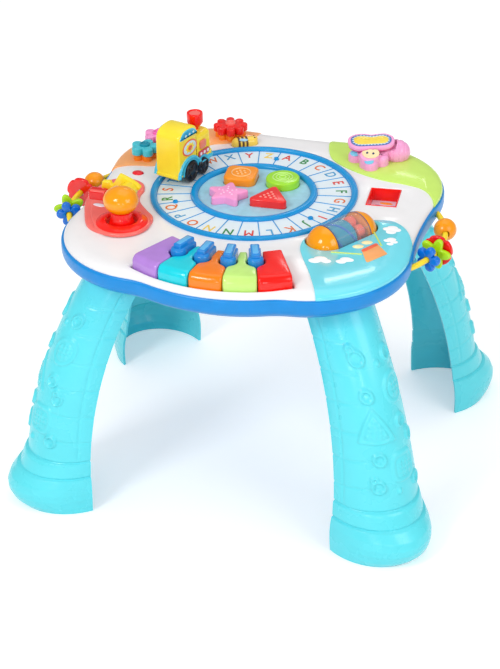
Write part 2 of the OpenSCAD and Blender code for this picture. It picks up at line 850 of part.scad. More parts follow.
module lever_arm() {
    color([0.97, 0.12, 0.08]) translate([lever_x, lever_y, boot_z]) {
        difference() {
            sphere(r = boot_r, $fn = 64);
            sphere(r = boot_r - 2.5, $fn = 64);
            translate([0, 0, -boot_r - 5]) cube([50, 50, 2*boot_r - 4], center = true);
        }
        rotate([0, 90, 0]) cylinder(r = trunnion_r, h = 2*(ear_x + 2.5), center = true);
        cylinder(r = stem_r, h = head_z - boot_z - 10);
    }
}

module lever_head() {
    color([0.99, 0.66, 0.05]) translate([lever_x, lever_y, head_z]) difference() {
        scale([1, 1, head_squash]) sphere(r = head_r, $fn = 64);
        translate([0, head_r - 6 + 25, 0]) cube([50, 50, 50], center = true);
        translate([0, 0, -head_r - past]) cylinder(r = stem_r + 0.05, h = head_r - 10 + past);
    }
}

module lever_wings() {
    color([0.99, 0.83, 0.14]) translate([lever_x, lever_y, head_z]) {
        translate([0, head_r - 6, 0]) rotate([-90, 0, 0]) cylinder(r = boom_r, h = 16);
        translate([0, head_r + 15, 0]) rotate([90, 0, 0]) linear_extrude(6)
            polygon([[-36, -6], [-34, 6], [-24, 7], [-22, 1], [-12, 17.5], [0, 12.5], [8, 8], [14.5, 2.7],
                [6, -5], [-24, -9]]);
        translate([-46, head_r - 1, -6]) rotate([0, 90, 0]) cylinder(r = 6.5, h = 19);
        translate([-33, head_r - 1, -8]) cube([6, 12, 6]);
    }
}

// ---------- Roller ----------
drum_t = 1.8;

module roller_cap() {
    difference() {
        union() {
            cylinder(r = roller_r, h = cap_collar);
            intersection() {
                translate([0, 0, cap_at]) sphere(r = cap_r, $fn = 64);
                translate([-40, -40, cap_collar]) cube([80, 80, 60]);
            }
            translate([0, 0, -3]) cylinder(r = roller_r - drum_t - 0.1, h = 3 + past);
            cylinder(r = stub_r, h = cap_collar + cap_h + stub_l - 2);
        }
        translate([0, 0, -3 - past]) cylinder(r = roller_r - 5, h = 3 + cap_collar + past);
        intersection() {
            translate([0, 0, cap_at]) sphere(r = cap_r - 2.5, $fn = 48);
            translate([-40, -40, cap_collar - past]) cube([80, 80, cap_h - 4.7]);
        }
    }
}

module roller_caps() {
    color([0.99, 0.66, 0.06]) at_roller() for (s = [-1, 1])
        rotate([0, s*90, 0]) translate([0, 0, drum_l/2]) roller_cap();
}

module roller_drum() {
    color([0.4, 0.65, 0.75, 0.5]) at_roller() rotate([0, 90, 0]) difference() {
        cylinder(r = roller_r, h = drum_l, center = true);
        cylinder(r = roller_r - drum_t, h = drum_l + 2*past, center = true);
    }
}

// Loose rattle beads, lying along the bottom of the drum
rattle_r = 3.2;
module roller_beads() {
    color([0.9, 0.3, 0.2]) at_roller() for (i = [-2:2]) for (j = [-1, 0, 1])
        rotate([j*22, 0, 0]) translate([i*8, 0, -(roller_r - drum_t - rattle_r - 0.1)])
            sphere(r = rattle_r, $fn = 24);
}

// ---------- Patches on the deck ----------
// Points along the inner edge of each patch, then two corners beyond the deck
sky_edge = [[132, -232], [129, -204], [106, -148], [84.5, -105], [77.5, -82], [81, -60], [103, -36],
    [130, -8], [148, -0.5], [168, 0], [188, -19], [204, -54], [214, -84]];
sky_far = [[270, -84], [270, -232]];
meadow_edge = [[50, 236], [41, 205], [40, 184], [55, 146], [88, 121], [125, 106], [157, 101],
    [179, 94], [195, 77], [205, 55], [216, 26]];
meadow_far = [[270, 26], [270, 236]];
sunset_edge = [[-226, 50], [-199, 59], [-177, 67], [-152, 72], [-134, 86], [-119, 115], [-105, 147],
    [-84, 158], [-59, 179], [-55, 204], [-62, 232]];
sunset_far = [[-62, 270], [-270, 270], [-270, 50]];
edge_steps = 4;

// Point at t between p1 and p2 on a smooth curve through p0 to p3
function bend(p0, p1, p2, p3, t) = 0.5*(2*p1 + (p2 - p0)*t + (2*p0 - 5*p1 + 4*p2 - p3)*t*t
    + (3*p1 - p0 - 3*p2 + p3)*t*t*t);
function smooth(p) = [for (i = [0:len(p) - 2]) for (k = [0:edge_steps - 1])
    bend(p[max(0, i - 1)], p[i], p[i + 1], p[min(len(p) - 1, i + 2)], k/edge_steps)];

// Thin skin over the deck inside a patch's edge
module patch(edge, far) {
    intersection() {
        difference() {
            crown(patch_t);
            crown(0);
        }
        translate([0, 0, joint_z - past]) linear_extrude(crown_drop + 10)
            polygon(concat(smooth(edge), far));
    }
}

module sky_patch() {
    color([0.5, 0.9, 0.95]) difference() {
        patch(sky_edge, sky_far);
        roller_opening();
    }
}

module meadow_patch() {
    color([0.79, 0.93, 0.4]) patch(meadow_edge, meadow_far);
}

teal_spot = [-172, 92];
pink_spot = [-168, 130];
red_spot = [-88, 180];
hub_h = 7;
hub_post_r = 3;
flower_t = 9;
flower_z = deck_h + patch_t + hub_h + fit;

module sunset_patch() {
    color([0.99, 0.7, 0.42]) {
        difference() {
            patch(sunset_edge, sunset_far);
            translate([0, 0, deck_h - past]) linear_extrude(20) bee_slot(0.5);
        }
        for (p = [teal_spot, pink_spot, red_spot]) translate([p[0], p[1], deck_h + patch_t]) {
            cylinder(r = p == red_spot ? big_flower_r - 4.5 : flower_r - 3.3, h = hub_h);
            cylinder(r = hub_post_r, h = hub_h + flower_t - 2);
        }
    }
}

module flower(spot, petals, r, lobe) {
    translate([spot[0], spot[1], flower_z]) difference() {
        union() {
            linear_extrude(flower_t) {
                circle(r = r - 1.3*lobe);
                for (i = [0:petals - 1]) rotate(i*360/petals + 18)
                    translate([r - lobe, 0]) circle(r = lobe, $fn = 32);
            }
            translate([0, 0, flower_t - 2]) sphere(r = 5.5);
        }
        translate([0, 0, -10]) cylinder(r = 30, h = 10);
        translate([0, 0, -past]) cylinder(r = hub_post_r + shaft_fit, h = flower_t - 2 + past);
    }
}

module flower_teal() {
    color([0.25, 0.75, 0.8]) flower(teal_spot, 5, flower_r, 6.3);
}

module flower_pink() {
    color([0.98, 0.62, 0.82]) flower(pink_spot, 5, flower_r, 6.3);
}

module flower_red() {
    color([0.95, 0.25, 0.25]) flower(red_spot, 8, big_flower_r, 5.2);
}

module bee_button() {
    color([0.98, 0.85, 0.35]) {
        translate([0, 0, bee_flange_z]) linear_extrude(3) bee_slot(2);
        translate([0, 0, bee_flange_z + 2]) linear_extrude(deck_h + 7 - bee_flange_z - 2) bee_slot(0);
        translate([0, 0, deck_h + 7]) linear_extrude(1.3) bee_slot(-2.5);
    }
}

// ---------- Bug with a drum pad ----------
bug_foot = deck_h + patch_t;
// Place, radius and height of each round mass of the bug
bug_masses = [[101, 162, 23, 17], [130, 171, 15.5, 22], [83, 151, 9.5, 12], [106, 133, 9.5, 12],
    [103, 139, 12.5, 21], [115, 148, 10, 13]];

module bug_body() {
    color([0.98, 0.66, 0.84]) difference() {
        for (m = bug_masses) translate([m[0], m[1], bug_foot]) cylinder(r = m[2], h = m[3]);
        difference() {
            for (m = bug_masses) translate([m[0], m[1], bug_foot - past])
                cylinder(r = m[2] - wall, h = m[3] - wall + past);
            pad_space(wall);
        }
        at_pad() translate([0, 0, -40]) cylinder(r = 6.2, h = 60);
        pad_space(0);
    }
}

module pad_outline() {
    rotate(pad_turn) {
        square([2*pad_half, 2*pad_r], center = true);
        for (s = [-1, 1]) translate([s*pad_half, 0]) circle(r = pad_r);
    }
}

// The room that the pad moves in
module pad_space(grow) {
    at_pad() translate([0, 0, -pad_t - pad_gap - grow]) linear_extrude(60) offset(r = 1.5 + grow) pad_outline();
}

module drum_pad() {
    color([0.98, 0.75, 0.87]) at_pad() {
        translate([0, 0, -pad_t]) linear_extrude(pad_t) pad_outline();
        translate([0, 0, -pad_stem]) cylinder(r = 6, h = pad_stem);
    }
}

// ---------- Window ----------
module window_well() {
    color([0.93, 0.1, 0.08]) difference() {
        union() {
            window_box(0, deck_h - window_depth - 1.5, deck_h);
            window_box(3, deck_in - 2, deck_in);
        }
        window_box(-1.5, deck_h - window_depth, deck_h + past);
    }
}

// ---------- Bead bars and beads ----------
bead_bore = bar_r + 0.5;
// Angle of each bead along the left and the right bar, from the X axis
ball_at = [20.5, 15.4];
disc_at = [6.9, -9.5];
star_at = [-14.6, -12.8];
flower_at = [-20.5, -20.5];
disc_r = 18.5;
disc_t = 5.5;
bloom_r = 15.7;
bloom_lobe = 5.6;

function spot_of(at, side) = at[side > 0 ? 1 : 0];

module bead_bars() {
    color([0.99, 0.83, 0.14]) {
        for (side = [-1, 1]) bead_bar(side, bar_r);
        bar_stubs(bar_r, 0, 6);
    }
}

// A bead's cross-section, swept t along the bar, with the bore left open
module bead(side, a, t) {
    at_bar(side, a) rotate([90, 0, 0]) difference() {
        translate([0, 0, -t/2]) linear_extrude(t) children();
        cylinder(r = bead_bore, h = t + 2*past, center = true);
    }
}

module ball_bead(side) {
    color([0.99, 0.65, 0.12]) at_bar(side, spot_of(ball_at, side)) rotate([90, 0, 0]) difference() {
        sphere(r = ball_r);
        cylinder(r = bead_bore + 0.4, h = 2*ball_r + 2*past, center = true);
        for (s = [-1, 1]) translate([0, 0, s*(ball_r + 8.5)]) cube([30, 30, 20], center = true);
    }
}

module disc_bead(side) {
    color([0.93, 0.12, 0.1]) bead(side, spot_of(disc_at, side), disc_t) circle(r = disc_r);
}

module star_bead(side) {
    color([0.6, 0.85, 0.1]) bead(side, spot_of(star_at, side), disc_t)
        polygon([for (i = [0:9]) (i % 2 == 0 ? disc_r + 1 : 10.7)*[cos(i*36), sin(i*36)]]);
}

module flower_bead(side) {
    color([0.05, 0.45, 0.85]) bead(side, spot_of(flower_at, side), 8) {
        circle(r = 9);
        for (i = [0:4]) rotate(i*72) translate([bloom_r - bloom_lobe, 0])
            circle(r = bloom_lobe, $fn = 32);
    }
}

module ball_bead_left() {
    ball_bead(-1);
}

module ball_bead_right() {
    ball_bead(1);
}

module disc_bead_left() {
    disc_bead(-1);
}

module disc_bead_right() {
    disc_bead(1);
}

module star_bead_left() {
    star_bead(-1);
}

module star_bead_right() {
    star_bead(1);
}

module flower_bead_left() {
    flower_bead(-1);
}

module flower_bead_right() {
    flower_bead(1);
}

// ---------- Train; its front points along -Y in its own frame ----------
rail_z = lane_z + divider_h + 0.2;
body_out = 3;
body_half = 17.5;
cab_rear = 37;
cab_front = -3;
nose = -39.5;
train_floor = deck_h + 13;
boiler_top = deck_h + 53;
roof_top = deck_h + 72;
roof_eave = deck_h + 61;
axle_r = 2;
wheel_half = 17;
wheel_t = 5;
chimney_y = -24;
chimney_h = 20.5;
arch_gap = 1.4;
arch_t = 2.4;
skin = 2;

module at_train() {
    at_track() rotate([0, 0, train_turn]) translate([train_r, 0, 0]) children();
}

module train_side(e) {
    polygon([[cab_rear - e, train_floor - (e > 0 ? 20 : 0)], [cab_rear - e, roof_eave - e],
        [cab_rear - 7, roof_eave + 8 - e], [cab_rear - 17, roof_top - e],
        [cab_front + 6 + e, roof_top - 2 - e], [cab_front + e, roof_top - 8 - e],
        [cab_front + e, boiler_top - e], [nose + 5, boiler_top - e],
        [nose + e, boiler_top - 6 - e], [nose + e, train_floor + 2 - (e > 0 ? 22 : 0)]]);
}

module train_profile(e) {
    translate([body_out - body_half + e, 0, 0]) rotate([90, 0, 90])
        linear_extrude(2*(body_half - e)) train_side(e);
}

axles = [[wheelbase/2, rear_wheel_r], [-wheelbase/2, front_wheel_r]];

// Round wells over the wheels, from x0 to x1 across the train
module wheel_wells(grow, x0, x1) {
    for (w = axles) translate([x0, w[0], rail_z + w[1]]) rotate([0, 90, 0])
        cylinder(r = w[1] + grow, h = x1 - x0);
}

module train_body() {
    color([0.99, 0.87, 0.25]) at_train() difference() {
        train_profile(0);
        train_profile(skin);
        wheel_wells(arch_gap + arch_t + 0.1, -50, 50);
        translate([body_out, chimney_y, boiler_top - 5]) cylinder(r = 4.2, h = 10);
    }
}

// Underframe with its two wheel arches and the axle blocks
module train_chassis() {
    inside = body_half - skin - 0.1;
    color([0.15, 0.65, 0.85]) at_train() difference() {
        union() {
            translate([body_out - inside, nose + skin + 0.1, train_floor])
                cube([2*inside, cab_rear - nose - 2*skin - 0.2, 3]);
            for (s = [-1, 1]) intersection() {
                translate([body_out + s*(body_half - 1) - 2, nose + 3, train_floor - 1])
                    cube([4, cab_rear - nose - 6, 27]);
                wheel_wells(arch_gap + arch_t, -50, 50);
            }
            translate([-8, -wheelbase/2 - 6, rail_z + front_wheel_r - 4])
                cube([16, wheelbase + 12, train_floor + 3 - rail_z - front_wheel_r + 4]);
        }
        wheel_wells(arch_gap, -50, -11);
        wheel_wells(arch_gap, 11, 50);
        for (w = axles) translate([-50, w[0], rail_z + w[1]]) rotate([0, 90, 0])
            cylinder(r = axle_r + shaft_fit, h = 100);
    }
}

module wheelset(y, r) {
    color([0.08, 0.08, 0.09]) at_train() translate([0, y, rail_z + r]) rotate([0, 90, 0]) {
        cylinder(r = axle_r, h = 2*wheel_half - 2, center = true);
        for (s = [-1, 1]) translate([0, 0, s*(wheel_half - wheel_t/2)])
            cylinder(r = r, h = wheel_t, center = true);
    }
}

module wheels_front() {
    wheelset(-wheelbase/2, front_wheel_r);
}

module wheels_rear() {
    wheelset(wheelbase/2, rear_wheel_r);
}

module train_chimney() {
    color([0.95, 0.12, 0.08]) at_train() translate([body_out, chimney_y, boiler_top]) {
        translate([0, 0, 3.3]) cylinder(r1 = 5, r2 = 9.2, h = chimney_h - 13.3);
        translate([0, 0, chimney_h - 10]) cylinder(r1 = 9.2, r2 = 9.8, h = 7);
        translate([0, 0, chimney_h - 3]) cylinder(r = 9.8, h = 3);
        translate([0, 0, -3]) cylinder(r = 4, h = 7);
        translate([0, 0, -skin - fit - 2]) cylinder(r = 6, h = 2);
    }
}

lower_housing();
top_cover();
track_ring();
shape_tray();
block_square();
block_circle();
block_star();
block_triangle();
key_purple();
key_teal();
key_orange();
key_green();
key_red();
sharp_key_1();
sharp_key_2();
sharp_key_3();
sharp_key_4();
key_frame();
switch_domes();
main_board();
speaker();
battery_door();
battery_cells();
power_slider();
screws();
lever_panel();
lever_arm();
lever_head();
lever_wings();
roller_caps();
roller_drum();
roller_beads();
sky_patch();
meadow_patch();
sunset_patch();
flower_teal();
flower_pink();
flower_red();
bee_button();
bug_body();
drum_pad();
window_well();
bead_bars();
ball_bead_left();
ball_bead_right();
disc_bead_left();
disc_bead_right();
star_bead_left();
star_bead_right();
flower_bead_left();
flower_bead_right();
train_body();
train_chassis();
train_chimney();
wheels_front();
wheels_rear();
leg(-1, -1);  // leg_front_left
leg(1, -1);  // leg_front_right
leg(1, 1);  // leg_back_right
leg(-1, 1);  // leg_back_left
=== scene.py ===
"""Looks of the musical activity table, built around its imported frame. Lengths are in millimetres
until a mesh is made, and Z is up."""

from math import asin, atan2, copysign, cos, degrees, exp, pi, radians, sin, sqrt, tan

import bmesh
import bpy
import numpy as np
from numpy import linspace
from mathutils import Matrix, Vector


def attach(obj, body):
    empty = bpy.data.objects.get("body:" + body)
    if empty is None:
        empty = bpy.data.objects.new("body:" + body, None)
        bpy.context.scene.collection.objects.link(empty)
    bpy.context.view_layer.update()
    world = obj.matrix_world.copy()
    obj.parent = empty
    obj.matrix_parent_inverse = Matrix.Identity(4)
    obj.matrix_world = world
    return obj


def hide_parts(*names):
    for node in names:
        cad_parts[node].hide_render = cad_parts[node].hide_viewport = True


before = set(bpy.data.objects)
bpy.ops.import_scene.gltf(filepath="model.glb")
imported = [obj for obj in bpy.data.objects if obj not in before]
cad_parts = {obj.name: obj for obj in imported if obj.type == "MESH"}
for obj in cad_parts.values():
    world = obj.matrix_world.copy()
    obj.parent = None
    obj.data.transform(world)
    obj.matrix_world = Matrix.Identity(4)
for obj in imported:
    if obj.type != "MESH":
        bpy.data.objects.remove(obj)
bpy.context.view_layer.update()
MM = 0.001
ROOT = "table"

# --- camera
CAM_AT = (644.981, -2107.344, 1433.981)
CAM_RIGHT = (0.957289, 0.288733, -0.015184)
CAM_UP = (-0.132862, 0.485929, 0.863841)
CAM_BACK = (0.256798, -0.824928, 0.503536)
FOCAL_PX = 2073.6
LONG_SIDE_PX = 669
VIEW_MIDDLE = (250, 334.5)
SENSOR = 36.0

cam_data = bpy.data.cameras.new("camera")
cam_data.sensor_width = SENSOR
cam_data.lens = FOCAL_PX * SENSOR / LONG_SIDE_PX
cam_data.clip_start = 0.05
cam_data.clip_end = 60
camera = bpy.data.objects.new("camera", cam_data)
bpy.context.collection.objects.link(camera)
axes = Matrix((CAM_RIGHT, CAM_UP, CAM_BACK)).transposed()
camera.matrix_world = Matrix.Translation(Vector(CAM_AT) * MM) @ axes.to_4x4()
bpy.context.scene.camera = camera
bpy.context.scene.view_settings.view_transform = "Standard"

# --- measures shared with the frame
DECK = 326.0
BASE = 284.0
JOINT = 318.0
LANE = 325.5
TRACK = (-13.0, 33.0)
FAN = (1.0, -30.0)
LEVER = (-138.0, -88.0)
HEAD_Z = 358.3
ROLLER = (116.0, -45.5, 322.0)
ROLLER_TURN = 58.0
ROLLER_R = 23.5
DRUM_L = 52.0
CAP_R, CAP_AT, CAP_END = 23.69, 24.01, 47.7
TRAIN_R = 97.0
TRAIN_TURN = 164.0
PATCH_T = 1.2
BODY_X = -2.0


def unproject(px, py, z):
    """Point at height z that the camera sees at a place in its 500 by 669 view."""
    ray = Vector(CAM_RIGHT) * (px - VIEW_MIDDLE[0]) - Vector(CAM_UP) * (py - VIEW_MIDDLE[1])
    ray = ray / FOCAL_PX - Vector(CAM_BACK)
    t = (z - CAM_AT[2]) / ray.z
    return Vector(CAM_AT) + ray * t


# --- materials
def linear(c):
    return tuple(x / 12.92 / 255 if x <= 10.3 else ((x / 255 + 0.055) / 1.055) ** 2.4 for x in c)


COAT_ROUGH, SPECULAR = 0.08, 0.4
GLOSS_LOW, GLOSS_HIGH = 0.8, 1.25
SKIN_SCALE, SKIN_DEPTH = 900, 0.0004


def put(node, **values):
    """Sets inputs of a node by name, with an underscore for each space."""
    for key, value in values.items():
        node.inputs[key.replace("_", " ")].default_value = value
    return node


def plastic(name, rgb, rough=0.22, coat=0.25, grain=0.012, scale=60.0, vary=0.05, alpha=1.0):
    """Moulded plastic: faint mottling in colour and gloss, and a very fine skin texture."""
    m = bpy.data.materials.new(name)
    m.use_nodes = True
    nt = m.node_tree

    def new(kind, **values):
        return put(nt.nodes.new("ShaderNode" + kind), **values)

    b = put(nt.nodes["Principled BSDF"], Coat_Weight=coat, Coat_Roughness=COAT_ROUGH,
            Specular_IOR_Level=SPECULAR, Alpha=alpha)
    co = new("TexCoord")
    big = new("TexNoise", Scale=scale, Detail=4)
    ramp = new("ValToRGB")
    for end, place, change in zip(ramp.color_ramp.elements, (0.3, 0.7), (1 - vary, 1 + vary)):
        end.position = place
        end.color = tuple(min(1, x * change) for x in linear(rgb)) + (1,)
    gloss = new("MapRange", To_Min=rough * GLOSS_LOW, To_Max=rough * GLOSS_HIGH)
    fine = new("TexNoise", Scale=SKIN_SCALE)
    bump = new("Bump", Strength=grain, Distance=SKIN_DEPTH)
    for out, into in ((co.outputs["Object"], big.inputs["Vector"]),
            (big.outputs["Fac"], ramp.inputs["Fac"]), (ramp.outputs["Color"],
            b.inputs["Base Color"]), (big.outputs["Fac"], gloss.inputs["Value"]),
            (gloss.outputs["Result"], b.inputs["Roughness"]), (co.outputs["Object"],
            fine.inputs["Vector"]), (fine.outputs["Fac"], bump.inputs["Height"]),
            (bump.outputs["Normal"], b.inputs["Normal"])):
        nt.links.new(out, into)
    return m


def looks(*rows):
    return [plastic(*row) for row in rows]


def light_path(tree):
    return tree.nodes.new("ShaderNodeLightPath").outputs


def math_node(tree, operation, *inputs):
    """Output of a math node that takes sockets and constants."""
    node = tree.nodes.new("ShaderNodeMath")
    node.operation = operation
    for i, x in enumerate(inputs):
        if isinstance(x, float):
            node.inputs[i].default_value = x
        else:
            tree.links.new(x, node.inputs[i])
    return node.outputs[0]


WHITE = plastic("deck_white", (240, 239, 240), 0.3, 0.3, vary=0.01)
BLUE = plastic("housing_blue", (0, 136, 214), 0.32, 0.0, vary=0.04)
RIM = plastic("rim_blue", (6, 148, 214), 0.24, 0.15, vary=0.05)
AQUA = plastic("leg_aqua", (94, 222, 234), 0.27, 0.12, vary=0.02, scale=25)
CARD = plastic("letter_card", (226, 237, 243), 0.4, 0.1, vary=0.02)
TRAY = plastic("tray_aqua", (158, 210, 228), 0.35, 0.2, vary=0.09, scale=110)
LETTERS = looks(("letter_red", (222, 62, 50)), ("letter_green", (40, 140, 70)),
    ("letter_orange", (228, 112, 52)), ("letter_blue", (72, 158, 206)),
    ("letter_yellow", (240, 206, 96)))


# --- mesh tools
def new_object(name, verts, faces, mats, face_mats=None, smooth=32):
    """Mesh object from millimetres; edges sharper than smooth degrees stay hard."""
    mesh = bpy.data.meshes.new(name)
    mesh.from_pydata([(v[0] * MM, v[1] * MM, v[2] * MM) for v in verts], [], faces)
    for m in mats:
        mesh.materials.append(m)
    if face_mats:
        mesh.polygons.foreach_set("material_index", face_mats)
    bm = bmesh.new()
    bm.from_mesh(mesh)
    bmesh.ops.remove_doubles(bm, verts=bm.verts, dist=1e-6)
    bmesh.ops.recalc_face_normals(bm, faces=bm.faces)
    bm.to_mesh(mesh)
    bm.free()
    shade(mesh, smooth)
    obj = bpy.data.objects.new(name, mesh)
    bpy.context.collection.objects.link(obj)
    return obj


def shade(mesh, angle):
    mesh.polygons.foreach_set("use_smooth", [True] * len(mesh.polygons))
    mesh.set_sharp_from_angle(angle=radians(angle))
    mesh.update()


def apply_modifiers(obj):
    deps = bpy.context.evaluated_depsgraph_get()
    mesh = bpy.data.meshes.new_from_object(obj.evaluated_get(deps))
    obj.modifiers.clear()
    old = obj.data
    obj.data = mesh
    bpy.data.meshes.remove(old)


def boolean(obj, other, operation="DIFFERENCE", smooth=32, fuse=False):
    """Cuts or clips with another object, which is used up; fuse is for self-overlapping bodies."""
    mod = obj.modifiers.new("boolean", "BOOLEAN")
    mod.use_self = fuse
    mod.operation = operation
    mod.solver = "EXACT"
    mod.object = other
    apply_modifiers(obj)
    bpy.data.objects.remove(other)
    shade(obj.data, smooth)
    return obj


def bevel(obj, width, segments=3, angle=35, smooth=32):
    mod = obj.modifiers.new("bevel", "BEVEL")
    mod.width = width * MM
    mod.segments = segments
    mod.limit_method = "ANGLE"
    mod.angle_limit = radians(angle)
    mod.harden_normals = False
    apply_modifiers(obj)
    shade(obj.data, smooth)
    return obj


class Build:
    """Gathers shapes, each a (points, faces) pair, into one object with several materials."""

    def __init__(self):
        self.v, self.f, self.m = [], [], []

    def add(self, shape, mat=0, at=None):
        verts, faces = shape
        base = len(self.v)
        if at is not None:
            verts = [at @ Vector(p) for p in verts]
        self.v += [tuple(p) for p in verts]
        self.f += [tuple(i + base for i in f) for f in faces]
        self.m += [mat] * len(faces)
        return self

    def object(self, name, mats, smooth=32):
        return new_object(name, self.v, self.f, mats, self.m, smooth)


def give(obj, body, slot, *nodes):
    """Names the body an object moves with and hides the frame's nodes that it stands in for. The
    slot is not used.
    """
    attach(obj, body)
    if nodes:
        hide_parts(*nodes)
    return obj


def loft(rings, caps=(True, True)):
    """Skin over closed rings of the same number of points."""
    n = len(rings[0])
    verts = [p for r in rings for p in r]
    faces = []
    for k in range(len(rings) - 1):
        for j in range(n):
            a, b = k * n + j, k * n + (j + 1) % n
            faces.append((a, b, b + n, a + n))
    if caps[0]:
        faces.append(tuple(range(n - 1, -1, -1)))
    if caps[1]:
        faces.append(tuple(range((len(rings) - 1) * n, len(rings) * n)))
    return verts, faces


def lathe(profile, n=64, closed=False):
    """Turns (radius, height) points about Z. closed joins the last point to the first."""
    verts, faces, rows = [], [], []
    for r, z in profile:
        if r < 1e-6:
            rows.append([len(verts)] * n)
            verts.append((0, 0, z))
        else:
            rows.append(list(range(len(verts), len(verts) + n)))
            verts += ring_at([(r * cos(radians(360 * i / n)),
                r * sin(radians(360 * i / n))) for i in range(n)], z)
    for lo, hi in list(zip(rows, rows[1:])) + ([(rows[-1], rows[0])] if closed else []):
        for i in range(n):
            j = (i + 1) % n
            face = tuple(dict.fromkeys((lo[i], lo[j], hi[j], hi[i])))
            if len(face) > 2:
                faces.append(face)
    return verts, faces


def rod(r, z0, z1, n):
    return lathe([(0, z0), (r, z0), (r, z1), (0, z1)], n)


def move(x=0, y=0, z=0, turn=0, tilt=0, roll=0):
    return (Matrix.Translation((x, y, z)) @ Matrix.Rotation(radians(turn), 4, "Z")
            @ Matrix.Rotation(radians(tilt), 4, "Y") @ Matrix.Rotation(radians(roll), 4, "X"))


def inset(pts, d):
    """Moves a counter-clockwise outline inwards by d, or by one distance for each edge."""
    n = len(pts)
    d = list(d) if hasattr(d, "__len__") else [d] * n
    out = []
    for i in range(n):
        p0, p1, p2 = pts[i - 1], pts[i], pts[(i + 1) % n]
        e0 = Vector((p1[0] - p0[0], p1[1] - p0[1])).normalized()
        e1 = Vector((p2[0] - p1[0], p2[1] - p1[1])).normalized()
        n0, n1 = Vector((-e0.y, e0.x)), Vector((-e1.y, e1.x))
        a, b = d[i - 1], d[i]
        det = n0.x * n1.y - n0.y * n1.x
        if abs(det) < 0.15:
            mid = (n0 + n1).normalized()
            q = mid * ((a + b) / 2 / max(0.5, mid.dot(n0)))
        else:
            q = Vector(((a * n1.y - b * n0.y) / det, (b * n0.x - a * n1.x) / det))
        out.append((p1[0] + q.x, p1[1] + q.y))
    return out


def fillet(pts, r, steps=5, least=25):
    """Rounds the corners of an outline that turn by more than least degrees."""
    n = len(pts)
    out = []
    for i in range(n):
        p0, p1, p2 = Vector(pts[i - 1]), Vector(pts[i]), Vector(pts[(i + 1) % n])
        a, b = (p0 - p1), (p2 - p1)
        turn = pi - a.angle(b)
        if degrees(turn) < least:
            out.append(tuple(p1))
            continue
        rr = r[i] if hasattr(r, "__len__") else r
        t = min(rr * tan(turn / 2), a.length * 0.49, b.length * 0.49)
        rr = t / tan(turn / 2)
        s, e = p1 + a.normalized() * t, p1 + b.normalized() * t
        c = p1 + (a.normalized() + b.normalized()).normalized() * (rr / cos(turn / 2))
        a0 = atan2(s.y - c.y, s.x - c.x)
        da = atan2(e.y - c.y, e.x - c.x) - a0
        da = (da + pi) % (2 * pi) - pi
        for k in range(steps + 1):
            w = a0 + da * k / steps
            out.append((c.x + rr * cos(w), c.y + rr * sin(w)))
    return out


def slab(pts, z0, z1, top=1.0, bottom=0.0, steps=4):
    """Solid over an outline, with rounded upper and lower edges."""
    rings = []
    if bottom:
        for k in range(steps):
            a = pi / 2 * k / steps
            d, z = bottom * (1 - sin(a)), z0 + bottom * (1 - cos(a))
            rings.append(ring_at(inset(pts, d), z))
    rings.append(ring_at(pts, z0 + bottom))
    for k in range(steps + 1):
        a = pi / 2 * k / steps
        d, z = top * (1 - cos(a)), z1 - top + top * sin(a)
        rings.append(ring_at(inset(pts, d), z))
    return loft(rings)


def ring_at(pts, z):
    return [(x, y, z) for x, y in pts]


def prism(pts, z0, z1):
    return loft([ring_at(pts, z0), ring_at(pts, z1)])


def arc(r, angles, x=0.0, y=0.0):
    """Points on a circle about (x, y), at angles in radians."""
    return [(x + r * cos(a), y + r * sin(a)) for a in angles]


def turns(n):
    """Angles of n even steps round a circle."""
    return linspace(0, 2 * pi, n + 1)[:-1]


def placed(pts, at):
    """Plan outline moved by a matrix."""
    return [tuple((at @ Vector((x, y, 0)))[:2]) for x, y in pts]


def capsule(r, h, reach, n, at):
    """Outline of two arcs whose centres stand h each side of the middle."""
    pts = arc(r, linspace(-reach, reach, n), h)
    return placed(pts + [(-x, -y) for x, y in pts], at)


def counter_clockwise(pts):
    area = sum(a[0] * b[1] - b[0] * a[1] for a, b in zip(pts[-1:] + pts, pts))
    return pts if area > 0 else pts[::-1]


def circle_pts(r, n=48, x=0, y=0):
    return arc(r, [2 * pi * i / n for i in range(n)], x, y)


def box_pts(x0, y0, x1, y1):
    return [(x0, y0), (x1, y0), (x1, y1), (x0, y1)]


def rounded(x0, y0, x1, y1, r, steps):
    """Rectangle with rounded corners."""
    return fillet([(x0, y0), (x1, y0), (x1, y1), (x0, y1)], r, steps)


def smooth_line(p, steps=6, closed=False):
    """Points on a smooth curve through the points given."""
    n = len(p)
    out = []
    for i in range(n if closed else n - 1):
        if closed:
            q = [p[(i + k - 1) % n] for k in range(4)]
        else:
            q = [p[max(0, i - 1)], p[i], p[i + 1], p[min(n - 1, i + 2)]]
        q = [Vector(v) for v in q]
        for k in range(steps):
            t = k / steps
            square, cube = 2 * q[0] - 5 * q[1] + 4 * q[2] - q[3], 3 * q[1] - q[0] - 3 * q[2] + q[3]
            out.append(tuple(0.5 * (2 * q[1] + (q[2] - q[0]) * t + square * t * t + cube * t ** 3)))
    if not closed:
        out.append(tuple(Vector(p[-1])))
    return out


def tube(path, r, n=16, caps=True, closed=False):
    """Round tube along a list of points."""
    pts = [Vector(p) for p in path]
    rings, up = [], Vector((0, 0, 1))
    m = len(pts)
    for i, p in enumerate(pts):
        a = pts[(i - 1) % m] if closed or i else pts[0]
        b = pts[(i + 1) % m] if closed or i < m - 1 else pts[-1]
        t = (b - a).normalized()
        side = t.cross(up)
        side = side.normalized() if side.length > 1e-3 else Vector((1, 0, 0))
        nor = side.cross(t).normalized()
        rr = r[i] if hasattr(r, "__len__") else r
        rings.append([tuple(p + side * rr * cos(2 * pi * k / n) + nor * rr * sin(2 * pi * k / n))
                      for k in range(n)])
    if closed:
        rings.append(rings[0])
    return loft(rings, caps=(caps and not closed, caps and not closed))


